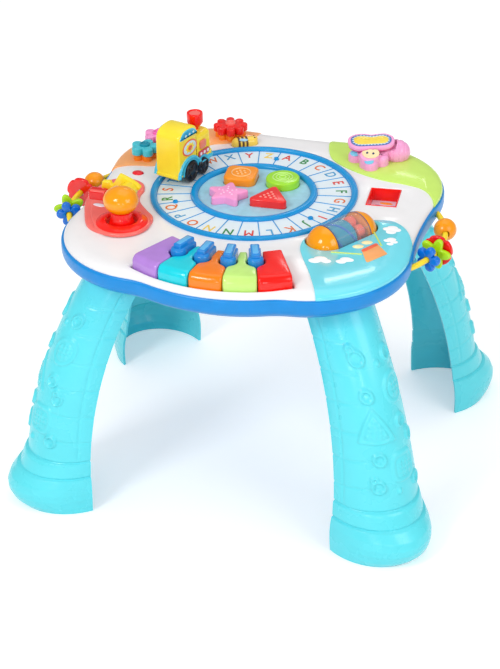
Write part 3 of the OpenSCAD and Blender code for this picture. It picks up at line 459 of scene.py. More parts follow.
def ball(rx, ry=None, rz=None, n=32, m=16):
    ry, rz = ry or rx, rz or rx
    v, f = lathe([(sin(pi * k / m), -cos(pi * k / m)) for k in range(m + 1)], n)
    return [(x * rx, y * ry, z * rz) for x, y, z in v], f


# --- outline of the body
LOBES = [(FAN, 186.0), ((BODY_X + 87, -80.0), 117.0), ((BODY_X + 87, 90.0), 117.0),
         ((BODY_X - 87, 90.0), 117.0), ((BODY_X - 87, -80.0), 117.0)]
BLENDS = [90.0, 600.0, 1200.0, 600.0, 90.0]


def blend_centre(i):
    (a, ra), (b, rb), f = LOBES[i % 5], LOBES[(i + 1) % 5], BLENDS[i % 5]
    a, b = Vector(a), Vector(b)
    ra, rb, d = ra + f, rb + f, (b - a).length
    u = (b - a) / d
    x = (d * d + ra * ra - rb * rb) / (2 * d)
    return a + u * x + Vector((u.y, -u.x)) * sqrt(ra * ra - x * x)


def heading(v):
    return atan2(v.y, v.x)


def outline(grow, lobe_steps=20, blend_steps=10):
    out = []
    for i in range(5):
        c, r = Vector(LOBES[i][0]), LOBES[i][1] + grow
        a0, a1 = heading(blend_centre(i - 1) - c), heading(blend_centre(i) - c)
        if a1 < a0:
            a1 += 2 * pi
        out += arc(r, [a0 + (a1 - a0) * k / lobe_steps for k in range(lobe_steps + 1)], *c)
        c, r = blend_centre(i), BLENDS[i] - grow
        nxt = Vector(LOBES[(i + 1) % 5][0])
        a0, a1 = heading(Vector(LOBES[i][0]) - c), heading(nxt - c)
        if a1 > a0:
            a1 -= 2 * pi
        out += arc(r, [a0 + (a1 - a0) * k / blend_steps for k in range(1, blend_steps)], *c)
    return out


def body_rings(profile):
    return [ring_at(outline(d), z) for d, z in profile]


CROWN = [(0, JOINT), (0, 319.6), (-0.5, 320.7), (-1.6, 321.9), (-3.4, 323.1), (-6, 324.2),
    (-9.5, 325.1), (-13.5, 325.7), (-18, DECK)]

# --- cutters shared by the deck and its patches
LEG_TURN = 41.1
LEG_H = BASE
LEG_AT = (186.5, 164.6)


def at_leg(sx, sy):
    """Place of the leg on one side in x and y."""
    a = degrees(atan2(sy * sin(radians(LEG_TURN)), sx * cos(radians(LEG_TURN))))
    return move(sx * LEG_AT[0], sy * LEG_AT[1], 0, a)


def roller_hole_pts(grow):
    """Plan outline of the roller's opening."""
    return capsule(CAP_R + grow, CAP_AT, 1.451, 17, move(*ROLLER[:2], 0, ROLLER_TURN))


def fan_pts(r0, r1, half, flare=0.0, n=24):
    """Sector of a ring below the fan's centre, its flanks moved out by flare at the rear."""
    up = [radians(-90 - half + 2 * half * k / n) for k in range(n + 1)]
    out, rear = arc(r1, up, *FAN), arc(r0, up[::-1], *FAN)
    for i, a, s in ((0, up[-1], 1), (-1, up[0], -1)):
        rear[i] = (rear[i][0] - s * flare * sin(a), rear[i][1] + s * flare * cos(a))
    return out + rear


BEE_AT = move(-64, 162, 0, 31)
BEE_R = 7.5


def bee_pts(grow):
    return capsule(BEE_R + grow, 9.5, pi / 2, 13, BEE_AT)


def window_pts(dx, dy):
    """Plan outline round the window's middle, turned as the window is."""
    return placed(box_pts(-dx, -dy, dx, dy), move(140, 61.5, 0, 5))


HOLE_LOW, HOLE_HIGH = 310, 336
CLIP_LOW, CLIP_HIGH = 300, 345


def flared(pts, flare, top=DECK):
    """Cutter whose mouth opens out in a small curve, so the hole it leaves has a rounded edge."""
    rings = [ring_at(pts, HOLE_LOW), ring_at(pts, top - flare)]
    for k in range(1, 5):
        a = pi / 2 * k / 4
        rings.append(ring_at(inset(pts, -flare * (1 - cos(a))), top - flare + flare * sin(a)))
    return loft(rings + [ring_at(inset(pts, -flare), HOLE_HIGH)])


def cutter(shape):
    return new_object("cutter", shape[0], shape[1], [])


# --- deck cover
cover = new_object("deck_cover", *loft(body_rings([(-3, JOINT)] + CROWN)), [WHITE])
holes = Build()
holes.add(flared(circle_pts(118.3, 96, *TRACK), 0.5))
holes.add(flared(fan_pts(110, 178.6, 32.9, 6), 3.4, 325.9))
holes.add(flared(roller_hole_pts(1.4), 1.0))
holes.add(flared(window_pts(18.5, 23.5), 0.8))
holes.add(prism(bee_pts(0.5), HOLE_LOW, HOLE_HIGH - 1))
boolean(cover, holes.object("cutter", []))
give(cover, ROOT, "cover_white", "top_cover")

# --- patches
SKY = [(132, -232), (129, -204), (106, -148), (84.5, -105), (77.5, -82), (81, -60), (103, -36),
    (130, -8), (148, -0.5), (168, 0), (188, -19), (204, -54), (214, -84)]
MEADOW = [(50, 236), (41, 205), (40, 184), (55, 146), (88, 121), (125, 106), (157, 101), (179, 94),
    (195, 77), (205, 55), (216, 26)]
SUNSET = [(-226, 50), (-199, 59), (-177, 67), (-152, 72), (-134, 86), (-119, 115), (-105, 147),
    (-84, 158), (-59, 179), (-55, 204), (-62, 232)]


SKIN_FROM = 320  # the skin of a patch is lifted off the crown above this height


def patch(name, edge, far, mat, extra=None, thick=PATCH_T):
    """Skin over the crown inside a smooth edge line, which far points close outside the body."""
    skin = [(d + thick, z + thick * (z > SKIN_FROM)) for d, z in CROWN]
    skin = [(skin[0][0] - 3, JOINT)] + skin
    obj = new_object(name, *loft(body_rings(skin)), [mat])
    area = counter_clockwise(smooth_line(edge, 8) + far)
    boolean(obj, cutter(prism(area, CLIP_LOW, CLIP_HIGH)), "INTERSECT")
    if extra:
        boolean(obj, cutter(extra))
    return bevel(obj, 0.45, 2, 50)


give(patch("sky_patch_skin", SKY, [(270, -84), (270, -232)], plastic("sky_aqua", (112, 222, 238),
    0.2, 0.6, vary=0.02), prism(roller_hole_pts(1.4), CLIP_LOW, CLIP_HIGH)), ROOT, "sky_aqua",
    "sky_patch")
give(patch("meadow_patch_skin", MEADOW, [(270, 26), (270, 236)],
    plastic("meadow_green", (206, 242, 110), vary=0.02)), ROOT, "meadow_green", "meadow_patch")
ORANGE_PATCH = plastic("sunset_orange", (255, 176, 110), vary=0.02)
give(patch("sunset_patch_skin", SUNSET, [(-62, 270), (-270, 270), (-270, 50)], ORANGE_PATCH,
           prism(bee_pts(0.5), CLIP_LOW, CLIP_HIGH)), ROOT, "sunset_orange", "sunset_patch")

# --- lower housing
HOUSING = [(-26, 284.6), (-24.6, 284), (-23, 284), (-21.6, 284.9), (-19.2, 288), (-14.5, 291.4),
    (-8, 294.2), (-3, 296.4), (0.3, 299), (2.2, 301.6), (3.2, 304.5), (3.5, 307), (3.5, 312),
    (3.4, 315.4), (3, 317), (2.3, 317.8), (1.6, 318), (-1.3, 318), (-1.3, 304), (-3, 302.4),
    (-11, 301), (-26, 297.8), (-26, 287)]
shell_v, shell_f = loft(body_rings(HOUSING), caps=(False, False))
base = len(shell_v)
floor_line = outline(-26)
n_out = len(floor_line)
shell_v = shell_v + ring_at(floor_line, BASE)
shell_f = shell_f + [tuple(range(base + n_out - 1, base - 1, -1)), tuple(range(base - n_out, base))]
for j in range(n_out):
    k = (j + 1) % n_out
    shell_f.append((base + j, base + k, k, j))
housing = new_object("housing_shell", shell_v, shell_f, [BLUE])
cuts = Build()
DOOR = (8, -52)
CUT_FROM = 282
for half_x, half_y, low, high in ((27.5, 31.5, CUT_FROM, 286.6), (24, 28, 286.2, 295)):
    cuts.add(prism(box_pts(DOOR[0] - half_x, DOOR[1] - half_y, DOOR[0] + half_x, DOOR[1] + half_y),
        low, high))
GRILLE, GRILLE_STEP = (-115, 5), 7
for ring in range(3):
    for i in range(max(1, ring * 6)):
        a = radians(i * 60 / max(1, ring))
        cuts.add(rod(1.8, CUT_FROM, 290, 16), at=move(*arc(ring * GRILLE_STEP, [a], *GRILLE)[0]))
SWITCH_SLOT = (58.5, -32.5, 71.5, -27.5)
SCREW_HOLES = ((BODY_X - 172, 84), (BODY_X + 165, 8), (-106, -162.5), (108, -162.5), (40, 174),
    (-38, 174))
cuts.add(prism(box_pts(*SWITCH_SLOT), CUT_FROM, 290))
for x, y in SCREW_HOLES:
    cuts.add(rod(4.4, CUT_FROM, 286.2, 24), at=move(x, y))
boolean(housing, cuts.object("cutter", []))
give(housing, ROOT, "housing_blue", "lower_housing")

# --- alphabet track
rim_profile = [(125, 326), (125, 327.4), (124.4, 328.9), (123.1, 329.8), (121.4, 330),
    (119.2, 329.9), (117.8, 329.2), (117.1, 328), (117, 326.6), (117, LANE), (76, LANE),
    (76, 327.6), (75.5, 329), (74.3, 329.9), (72.4, 330), (70, 329.9), (68.4, 329), (67.6, 327.6),
    (67.5, 325.4), (67.5, 322.6), (117.6, 322.6), (117.6, 326)]
track = Build().add(lathe(rim_profile, 144, closed=True))
CELLS = 27
for i in range(CELLS):
    turn = 90 - i * 360 / CELLS
    track.add(slab(box_pts(75, -0.6, 118, 0.6), LANE - 0.5, LANE + 0.8, 0.3, 0, 2),
        at=move(turn=turn))
for i in range(3):
    at = move(turn=90 - 120 * i) @ move(96.5)
    track.add(lathe([(0, 327.2), (1.2, 327.2), (1.5, 328.1), (2.1, 328.5), (2.7, 328.3), (3, 327.6),
        (3.2, 325.2), (0, 325.2)], 32), at=at)
track_obj = track.object("track", [RIM])
track_obj.data.transform(move(TRACK[0] * MM, TRACK[1] * MM))
give(track_obj, ROOT, "rim_blue", "track_ring")

card = Build().add(lathe([(76.5, LANE - 0.2), (116.5, LANE - 0.2), (116.5, LANE + 0.25),
    (76.5, LANE + 0.25)], 144, True), at=move(*TRACK))
give(card.object("letter_card", [CARD]), ROOT, "rim_blue")

ALPHABET = "ABCDEFGHIJKLMNÑOPQRSTUVWXYZ"
LETTER_MATS = "012301230123014232123012304"
LETTER_WIDTH = 0.86
LETTER_SIZE = 19
LETTER_R = 98.5
letters = Build()
for i, ch in enumerate(ALPHABET):
    curve = bpy.data.curves.new("glyph", "FONT")
    curve.body = ch
    curve.size = LETTER_SIZE
    curve.resolution_u = 6
    curve.extrude = 0.1
    curve.bevel_depth = 0.22
    curve.bevel_resolution = 0
    glyph = bpy.data.objects.new("glyph", curve)
    bpy.context.collection.objects.link(glyph)
    bpy.context.view_layer.update()
    mesh = glyph.to_mesh()
    pts = np.array([v.co[:] for v in mesh.vertices])
    faces = [tuple(p.vertices) for p in mesh.polygons]
    cx = (pts[:, 0].min() + pts[:, 0].max()) / 2
    turn = 90 - (i + 0.5) * 360 / CELLS
    at = move(*TRACK, LANE + 0.42, turn) @ move(LETTER_R, 0, 0, -90)
    letters.add(([((x - cx) * LETTER_WIDTH, y, z) for x, y, z in pts], faces), int(LETTER_MATS[i]),
        at)
    glyph.to_mesh_clear()
    bpy.data.objects.remove(glyph)
    bpy.data.curves.remove(curve)
give(letters.object("letters", LETTERS, 20), ROOT, "rim_blue")

# --- shape tray and its blocks
SQUARE = (-39.0, 65.5)
CIRCLE = (13.5, 66.0)
STAR = (-40.0, 12.5)
TRIANGLE = (12.4, 14.5)
BLOCK_FOOT, BLOCK_TOP = 323.6, 335.0


def square_pts(e):
    h = 19.5 + e
    return placed(rounded(-h, -h, h, h, 9 + e, 8), move(*SQUARE, 0, 5))


def star_pts(e):
    pts = [arc(12.5 if i % 2 else 24.5, [radians(95 + i * 36)])[0] for i in range(10)]
    pts = inset(fillet(pts, [6 if i % 2 else 1.6 for i in range(10)], 5), -(2 + e))
    return [(STAR[0] + x, STAR[1] + y) for x, y in pts]


def triangle_pts(e):
    pts = []
    for i in range(3):
        a = radians(92.6 + i * 120)
        pts += arc(5 + e, linspace(a - pi / 3, a + pi / 3, 9), *arc(20, [a], *TRIANGLE)[0])
    return pts


tray = new_object("tray_disc", *lathe([(0, 319), (75.5, 319), (75.5, 322.4), (67.3, 322.4),
    (67.3, LANE), (0, LANE)], 96), [TRAY])
tray.data.transform(move(TRACK[0] * MM, TRACK[1] * MM))
pockets = Build()
for pts in (square_pts(0.6), circle_pts(21.1, 48, *CIRCLE), star_pts(0.6), triangle_pts(0.6)):
    pockets.add(prism(pts, 323.5, 330))
boolean(tray, pockets.object("cutter", []))
give(tray, ROOT, "tray_aqua", "shape_tray")


def ring_shape(r, t, z, cx=0, cy=0, n=48, h=None):
    h = h or t
    v, f = lathe([(r + t * cos(a), z + h * sin(a)) for a in turns(8)], n, True)
    return [(cx + x, cy + y, zz) for x, y, zz in v], f


def make_block(name, pts, centre, rgb, pale, slot, spots, dot_r=1.5, rings=()):
    """Block with raised dots at spots round its centre, and rings given as (radius, width)."""
    b = Build().add(slab(pts, BLOCK_FOOT, BLOCK_TOP, 2.2, 0.8, 5))
    for r, width in rings:
        b.add(ring_shape(r, width, BLOCK_TOP, *centre), 1)
    for x, y in spots:
        v, f = ball(dot_r, dot_r, 0.9, 12, 6)
        b.add(([(centre[0] + x + p[0], centre[1] + y + p[1], BLOCK_TOP + p[2]) for p in v], f), 1)
    mats = looks((name + "_colour", rgb, 0.2), (name + "_relief", pale, 0.4))
    give(b.object(name + "_piece", mats), name, slot, name)


FLOWER_DOTS = arc(5.4, turns(6)) + [(0, 0)]
STAR_DOTS = [arc(r, [radians(100 + 72 * k)])[0] for k in range(5) for r in (6, 11)] + [(0, 0)]
ROWS_OF_DOTS = [(6.2 * i - 6.2 * 1.5 + 3.1 * j - 0.5,
    4.9 * j - 6.5) for j in range(4) for i in range(4 - j)]
make_block("block_square", square_pts(0), SQUARE, (250, 150, 24), (252, 196, 130), "block_orange",
    FLOWER_DOTS, 1.5, [(11.5, 0.8)])
make_block("block_circle", circle_pts(20.5, 64, *CIRCLE), CIRCLE, (160, 226, 48), (200, 240, 140),
    "block_green", [], 1.5, [(r, 0.75) for r in (4, 8, 12)])
make_block("block_star", star_pts(0), STAR, (252, 160, 212), (254, 200, 230), "block_pink",
    STAR_DOTS, 1.3)
make_block("block_triangle", triangle_pts(0), TRIANGLE, (240, 40, 40), (250, 150, 140), "block_red",
    ROWS_OF_DOTS, 1.6)

# --- keyboard
KEY_TOP = 340.0
HALF = 6.5
KEY_END = 177


def polar(r, deg):
    return (r * cos(radians(deg)), r * sin(radians(deg)))


SHARP_AT = 136.0


def key_outline(notches, front, side):
    """Outline of a key with its front at a radius and its other sides brought in by a distance."""
    half = HALF - degrees((0.4 + side) / front)
    pts = [polar(front, a) for a in [-half, *linspace(2.4 - half, half - 2.4, 13), half]]
    radii = [3.6] + [0] * 13 + [3.6]

    def flank(s):
        if s not in notches:
            rear = polar(112 + side, s * (HALF - degrees((0.8 + side) / 112)))
            return [(rear[0], rear[1] + 6 * s)], [2.0]
        bulb, c = 10.7 + side, polar(SHARP_AT, s * HALF)
        start = radians(36)
        corner = SHARP_AT + bulb / cos(start) - tan(start) * (0.4 + side)
        row = [polar(corner, s * (HALF - degrees((0.4 + side) / corner)))]
        last = 180 - degrees(asin((8.7 + side) / bulb))
        row += arc(bulb, [radians(s * (HALF - w)) for w in linspace(36, last, 10)], *c)
        u = Vector(polar(1, s * HALF))
        end = u * (112 + side) + Vector((-u.y, u.x)) * (-s * (8.7 + side))
        return row + [tuple(end)], [6.5] + [0] * 10 + [1.2]

    (left, lr), (right, rr) = flank(1), flank(-1)
    pts, radii = pts + left + right[::-1], radii + lr + rr[::-1]
    out = []
    for i, r in enumerate(radii):
        corner = [pts[i - 1], pts[i], pts[(i + 1) % len(pts)]]
        out += fillet(corner, [0, r, 0], 5, 0)[6:12] if r else corner[1:2]
    return out


def key_solid(notches, z0, z1, soft=2.0, front=9.0):
    zs = sorted({z1 - front + front * sin(pi / 2 * k / 8) for k in range(9)}
                | {z1 - soft + soft * sin(pi / 2 * k / 4) for k in range(5)})
    rings = [ring_at(key_outline(notches, KEY_END, 0), z0)]
    for z in zs:
        f = front - sqrt(max(0, front ** 2 - (z - z1 + front) ** 2))
        s = soft - sqrt(max(0, soft ** 2 - max(0, z - z1 + soft) ** 2))
        rings.append(ring_at(key_outline(notches, KEY_END - f, s), z))
    return loft(rings)


KEYS = [("key_purple", "key_1", -26, [1], (178, 130, 214)), ("key_teal", "key_2", -13, [-1, 1],
    (14, 208, 222)), ("key_orange", "key_3", 0, [-1, 1], (252, 128, 0)),
    ("key_green", "key_4", 13, [-1, 1], (196, 238, 124)), ("key_red", "key_5", 26, [-1],
    (250, 12, 0))]
for node, body, angle, notches, rgb in KEYS:
    b = Build().add(key_solid(notches, 317.2, KEY_TOP), at=move(*FAN, 0, angle - 90))
    give(b.object(node + "_cap", [plastic(node, rgb, 0.2, 0.35)], 40), body, node, node)

SHARP = looks(("sharp_blue", (28, 134, 214), 0.2, 0.35), ("sharp_top", (92, 178, 232), 0.25))
for i, angle in enumerate((-19.5, -6.5, 6.5, 19.5)):
    bulb = arc(9, linspace(radians(-129), radians(129), 25), SHARP_AT)
    base_shape = slab([(112, -7)] + bulb + [(112, 7)], 317.2, 345.6, 3.4, 0, 6)
    top_shape = slab(rounded(112.4, -5.3, 139, 5.3, 1.6, 4), 340, 350, 1.6, 0, 4)
    at = move(*FAN, 0, angle - 90)
    b = Build().add(base_shape, 0, at).add(top_shape, 0, at)
    b.add(slab(rounded(115, -3.2, 136.4, 3.2, 1.4, 4), 349.6, 350.3, 0.3, 0, 2), 1, at)
    give(b.object("sharp_%d_cap" % (i + 1), SHARP, 40), "sharp_%d" % (i + 1), "sharp_blue",
        "sharp_key_%d" % (i + 1))

# --- legs
CUFF_ROWS = [44.2, 44.8, 45.2, 46, 46.9, 64.2, 64.8, 65.2, 66, 66.9]
CUFF_GROOVES = (46.2, 66.2)
SEAMS = (98, 130, 162, 194, 226, 258)
LEG_WALL, BACK_STEPS = 3, 24
LEG_TOP_W, LEG_TOP_D, CUFF_Z, CUFF_W, CUFF_D = 82.0, 52.0, 64.0, 106.0, 57.0


def leg_lean(z):
    return -85.5 * (z / LEG_H) ** 2.22


def smooth_step(t):
    """Eased 0 to 1."""
    t = min(1.0, max(0.0, t))
    return t * t * (3 - 2 * t)


def leg_size(z):
    """Width and depth of a leg's half-round section at height z."""
    if z < 45:
        knots = [(0, 120, 70), (8, 121, 78), (18, 121.5, 82.6), (26, 121, 83), (35, 119, 79.5),
            (45, 114.5, 70.5)]
    elif z < 65:
        knots = [(45, 112.5, 67.4), (50, 111.2, 65.6), (58, 109.6, 62.9), (62, 108.6, 61.6),
            (65, 107, 59.6)]
    else:
        t = (z - CUFF_Z) / (LEG_H - CUFF_Z)
        return LEG_TOP_W + (CUFF_W - LEG_TOP_W) * max(0.0,
            1 - t) ** 1.7, CUFF_D + (LEG_TOP_D - CUFF_D) * t
    for a, b in zip(knots, knots[1:]):
        if z <= b[0]:
            t = (z - a[0]) / (b[0] - a[0])
            return a[1] + (b[1] - a[1]) * t, a[2] + (b[2] - a[2]) * t
    return knots[-1][1:]


def arc_table(w, d, n=200):
    """Distance along the half ellipse from its middle, for even steps of its angle."""
    a = linspace(0, pi, n + 1)
    x, y = d * np.sin(a), w / 2 * np.cos(a)
    s = np.concatenate([[0], np.cumsum(np.hypot(np.diff(x), np.diff(y)))])
    return a, s - s[-1] / 2


def bumpy(d, width, height):
    """Rounded ridge of a given width round distance 0."""
    return height * np.clip(1 - (d / (width / 2)) ** 2, 0, 1) ** 0.7


def pimples(x, y, inside):
    cell = np.hypot((x + 40) % 5.4 - 2.7, (y + 40) % 5.4 - 2.7)
    return np.where(inside, bumpy(cell, 4.0, 1.3), 0)


def leg_relief(u, z, motifs):
    """Height that the raised motifs stand out, at distance u round the leg and height z."""
    h = np.zeros_like(u)
    for kind, mu, mz, r in motifs:
        x, y = u - mu, z - mz
        rr = np.hypot(x, y)
        if kind == "ring":
            h = np.maximum(h, bumpy(rr - r, 4.6, 3.0))
        elif kind == "dot":
            h = np.maximum(h, bumpy(rr, 2 * r, 3.0))
        elif kind == "drop":
            neck = np.hypot(x - r * 0.55, y - r * 1.15)
            body = np.minimum(np.abs(rr - r), np.where(rr > r, np.abs(neck - r * 0.5), 99))
            h = np.maximum(h, bumpy(body, 4.0, 2.8))
        else:
            e = {"badge": rr, "square": (np.abs(x) ** 4 + np.abs(y) ** 4) ** 0.25,
                "triangle": np.maximum.reduce([-y, 0.5 * y + 0.866 * x,
                0.5 * y - 0.866 * x]) * 1.1 + 0.14 * rr}[kind]
            h = np.maximum(h, 1.9 * np.clip((r - e) / 1.3, 0, 1))
            h = h - bumpy(e - r * 0.66, 2.6, 0.9) + pimples(x, y, e < r * 0.58)
    return h


def leg_mesh(motifs, cols=132, rows=236):
    outer = []
    zs = np.unique(np.concatenate([linspace(0, LEG_H + 5, rows), CUFF_ROWS]))
    for z in zs:
        w, d = leg_size(z)
        a, s = arc_table(w, d)
        ang = linspace(0, pi, cols + 1)
        u = np.interp(ang, a, s)
        fade = np.clip((w * 0.62 - np.abs(u)) / 4, 0, 1)
        h = leg_relief(u, np.full_like(u, z), motifs) * fade
        seam = sum(0.9 * np.exp(-((z - zz + 0.1 * np.abs(u)) / 1.2) ** 2) for zz in SEAMS)
        seam = np.maximum(seam * (np.abs(u) > 22),
            1.1 * np.exp(-((np.abs(u) - w * 0.67) / 1.3) ** 2)) * (z > 68)
        h = np.where(h > 0.2, h,
            h - seam) - sum(1.3 * exp(-((z - zz) / 0.9) ** 2) for zz in CUFF_GROOVES)
        nx, ny = np.sin(ang) / d, np.cos(ang) / (w / 2)
        nn = np.hypot(nx, ny)
        x = leg_lean(z) + d * np.sin(ang) + h * nx / nn
        y = w / 2 * np.cos(ang) + h * ny / nn
        ring = [(x[i], y[i], z) for i in range(cols + 1)]
        back = [(leg_lean(z) + (d - LEG_WALL) * sin(t), (w / 2 - LEG_WALL) * cos(t), z)
                for t in linspace(pi, 0, BACK_STEPS + 1)]
        outer.append(ring + back)
    verts, faces = loft(outer, caps=(False, False))
    n = len(outer[0])
    for start in (0, (len(outer) - 1) * n):
        # the leg's rim at its foot and its top, as strips between the outer and the inner line
        for j in range(BACK_STEPS):
            lo, hi = round(j * cols / BACK_STEPS), round((j + 1) * cols / BACK_STEPS)
            faces.append(tuple(start + i for i in [*range(lo, hi + 1), n - 2 - j, n - 1 - j]))
    return verts, faces


LEG_MOTIFS = [("drop", 19.7, 240, 8), ("dot", -3, 232, 4), ("ring", -20, 238, 6.5),
    ("badge", -19.5, 202, 17.5), ("ring", 19, 200, 6.5), ("triangle", 17, 162, 19),
    ("ring", -18, 166, 6.5), ("drop", -31, 145, 6), ("square", -12, 116, 18),
    ("ring", 18, 129.5, 6.5), ("drop", 23, 97, 7), ("dot", -2, 88, 4), ("ring", -33, 92, 6.5)]
LEGS = [("leg_front_left", -1, -1), ("leg_front_right", 1, -1), ("leg_back_right", 1, 1),
    ("leg_back_left", -1, 1)]
one_leg = leg_mesh(LEG_MOTIFS)
for name, sx, sy in LEGS:
    b = Build().add(one_leg, at=at_leg(sx, sy))
    b.add(loft([[(leg_lean(LEG_H) + 2 + 48 * sin(t), 39 * cos(t), z) for t in linspace(0, pi, 37)]
                for z in (279, 282)]), at=at_leg(sx, sy))
    give(b.object(name + "_shell", [AQUA], 60), ROOT, "leg_aqua", name)

# --- lever
def turned(matrix, shape):
    return [tuple(matrix @ Vector(p)) for p in shape[0]], shape[1]


def disc_at(px, py, z, rx, ry, rz, turn=0):
    """Low dome at the spot that the camera sees at a place in its view."""
    p = unproject(px, py, z)
    return turned(move(p.x, p.y, z, turn), ball(rx, ry, rz, 32, 12))


PANEL_LINE = [(-169, 27), (-189, 19), (-198, 0), (-201, -22), (-200.5, -42), (-194, -64),
    (-179, -99), (-162, -114), (-143, -117), (-124, -112), (-110, -98), (-105, -79), (-108.5, -62),
    (-120, -49), (-136, -29), (-141.5, -12), (-142, 4), (-150, 19.5)]
panel_line = smooth_line(PANEL_LINE, 6, True)
# The panel is red plastic; its top is drawn in a lighter pink as a painted reflection sheen, and
# only the collar keeps the plain red.
PANEL_MATS = looks(("panel_red_painted_sheen", (247, 112, 104), 0.2, 0.3), ("panel_red", (250, 34, 26), 0.16),
    ("panel_lens", (236, 232, 244), 0.1), ("panel_orange", (248, 120, 52), 0.2))
panel = Build().add(slab(panel_line, 322.4, 329.2, 2.2, 0, 5), 0)
panel.add(slab(inset(panel_line, 7.5), 328, 331, 1.6, 0, 4), 0)
panel.add(slab(circle_pts(33.5, 64, *LEVER), 327, 330.8, 2.2, 0, 4), 0)
panel.add(lathe([(18.8, 326), (18.8, 333), (19.8, 334.2), (22, 334.4), (26, 333.2), (30, 331.4),
    (31, 330.4), (31, 328)], 64, True), 1, move(*LEVER))
panel.add(disc_at(99.7, 205.2, 331, 8.5, 3.6, 1.2, -6), 2)
panel.add(lathe([(3.4, -0.6), (3.7, 0.8), (4.8, 1.1), (5.6, 0.4), (5.7, -0.6)], 32, True), 3,
    move(*unproject(137.2, 214, 331.2)))
panel_obj = panel.object("lever_panel_shell", PANEL_MATS)
boolean(panel_obj, cutter(turned(move(*LEVER), rod(18.6, 326.5, 345, 64))),
        fuse=True)
give(panel_obj, ROOT, "panel_red", "lever_panel")

# The pale red given for the pod is a painted highlight, standing in for lamp glints on the red pod.
LEVER_MATS = looks(("lever_red", (246, 18, 10), 0.16, 0.5), ("lever_orange", (255, 158, 0), 0.18,
    0.4), ("lever_yellow", (255, 222, 44), 0.24), ("pod_red", (226, 8, 6), 0.18, 0.4),
    ("pod_painted_highlight", (246, 92, 84), 0.2))
boot = [(0, 322)] + arc(17.9, linspace(0.12, 0.62, 8), 0, 320) + [(14.4, 332.4), (13.4, 335),
    (12.9, 338), (12.8, 344), (0, 350)]
give(Build().add(lathe(boot, 64), 0, move(*LEVER)).object("lever_boot", LEVER_MATS[:1]), "lever",
    "lever_red", "lever_arm")
head = Build().add(ball(21, 20, 16.4, 64, 32), 0, move(*LEVER, HEAD_Z))
give(head.object("lever_ball", [LEVER_MATS[1]]), "lever", "lever_orange", "lever_head")
wings = Build()
WING_LINE = [(-36, -6), (-34, 6), (-24, 7), (-22, 1), (-12, 17.5), (0, 12.5), (8, 8), (14.5, 2.7),
    (6, -5), (-24, -9)]
wing_line = fillet(WING_LINE[::-1], 2.2, 4)
wings.add(slab(wing_line, 0, 7, 1.6, 1.6, 4), 0, move(LEVER[0], LEVER[1] + 36.5, HEAD_Z, roll=90))
for k in range(7):
    wings.add(slab(rounded(-7.4 + 2.1 * k, -8, -6.2 + 2.1 * k, 9 - abs(k - 3), 0.5, 3), 0, 16.5,
        0.5, 0, 2), 0, move(LEVER[0], LEVER[1] + 30.5, HEAD_Z, roll=90))
wings.add(turned(move(roll=-90), lathe([(0, 12), (10.6, 12), (10.6, 29), (9.8, 31), (0, 31)], 48)),
    0, move(*LEVER, HEAD_Z))
give(wings.object("lever_wing", [LEVER_MATS[2]]), "lever", "lever_yellow", "lever_wings")
pod = Build()
pod.add(slab(rounded(-46, 13.6, -24, 26.4, 2.4, 4), 346.4, 358.8, 2.2, 2.2, 4), 0, move(*LEVER))
# The strip along the pod's top and the plate on its left end are painted highlights in pale red.
pod.add(slab(rounded(-44, 14, -25, 17.5, 1.2, 3), 357, 359.4, 0.8, 0, 3), 1, move(*LEVER))
pod.add(slab(rounded(-46.4, 16, -44, 24, 0.8, 3), 348.6, 356.6, 0.6, 0.6, 3), 1, move(*LEVER))
give(pod.object("lever_pod", LEVER_MATS[3:5]), "lever", "lever_red")

lens = Build().add(disc_at(138, 173, 326.2, 7.2, 6, 2.6), 0)
give(lens.object("indicator_lens", [plastic("lens_red", (232, 24, 40), 0.08, 0.6)]), ROOT,
    "lever_red")

# --- roller
ROLL = move(*ROLLER, turn=ROLLER_TURN, tilt=90)
dome = [(0, 25.2), (21.2, 25.2), (21.2, 26.2), (23.3, 26.2), (23.5, 26.6)]
dome += [(CAP_R * sin(a), CAP_AT + CAP_R * cos(a)) for a in linspace(1.444, 0.12, 16)]
dome += [(2.4, CAP_END), (2.4, CAP_END + 4.8), (0, CAP_END + 4.8)]
caps = Build()
for s in (0, 180):
    caps.add(lathe(dome, 64), 0, ROLL @ move(roll=s))
give(caps.object("roller_domes", [plastic("dome_orange", (255, 158, 0), 0.16, 0.4)]), "roller",
    "roller_orange", "roller_caps")
CLEAR = plastic("drum_clear", (206, 226, 238), 0.05, 1.0, vary=0.02, alpha=0.1)
drum = Build().add(lathe([(ROLLER_R, -DRUM_L / 2), (ROLLER_R, DRUM_L / 2), (22.4, DRUM_L / 2),
    (22.4, -DRUM_L / 2)], 96, True), 0, ROLL)
for k in range(5):
    a = radians(18 + 72 * k)
    drum.add(prism(arc(23.2, (a - 0.03, a + 0.03)) + arc(23.9, (a + 0.018, a - 0.018)), -25, 25), 0,
        ROLL)
for z in (-25.6, 25.6):
    drum.add(lathe([(23.3, z - 0.5), (23.8, z - 0.4), (23.8, z + 0.4), (23.3, z + 0.5)], 96, True),
        2, ROLL)
give(drum.object("roller_shell", [CLEAR, plastic("drum_rib", (226, 230, 240), 0.15),
    plastic("drum_seam", (84, 78, 120), 0.3)]), "roller", "roller_clear", "roller_drum")
inner_parts = Build().add(lathe([(0, -24.4), (20.4, -24.4), (20.4, 6), (19.6, 7), (0, 7)], 64), 0,
    ROLL)
for k in range(3):
    path = [(20.3 * cos(a + 2.09 * k), 20.3 * sin(a + 2.09 * k),
        -23 + 28 * a / 2.6) for a in linspace(0, 2.6, 30)]
    inner_parts.add(tube(path, 1.5, 8), 1, ROLL)
for k in range(5):
    a = radians(72 * k + 20)
    inner_parts.add(turned(move(13.4 * cos(a), 13.4 * sin(a), 15.5),
        slab(circle_pts(7.6, 24), -5.5, 5.5, 2.4, 2.4, 3)), 2, ROLL)
inner_parts.add(rod(6, 6, 25, 24), 3, ROLL)
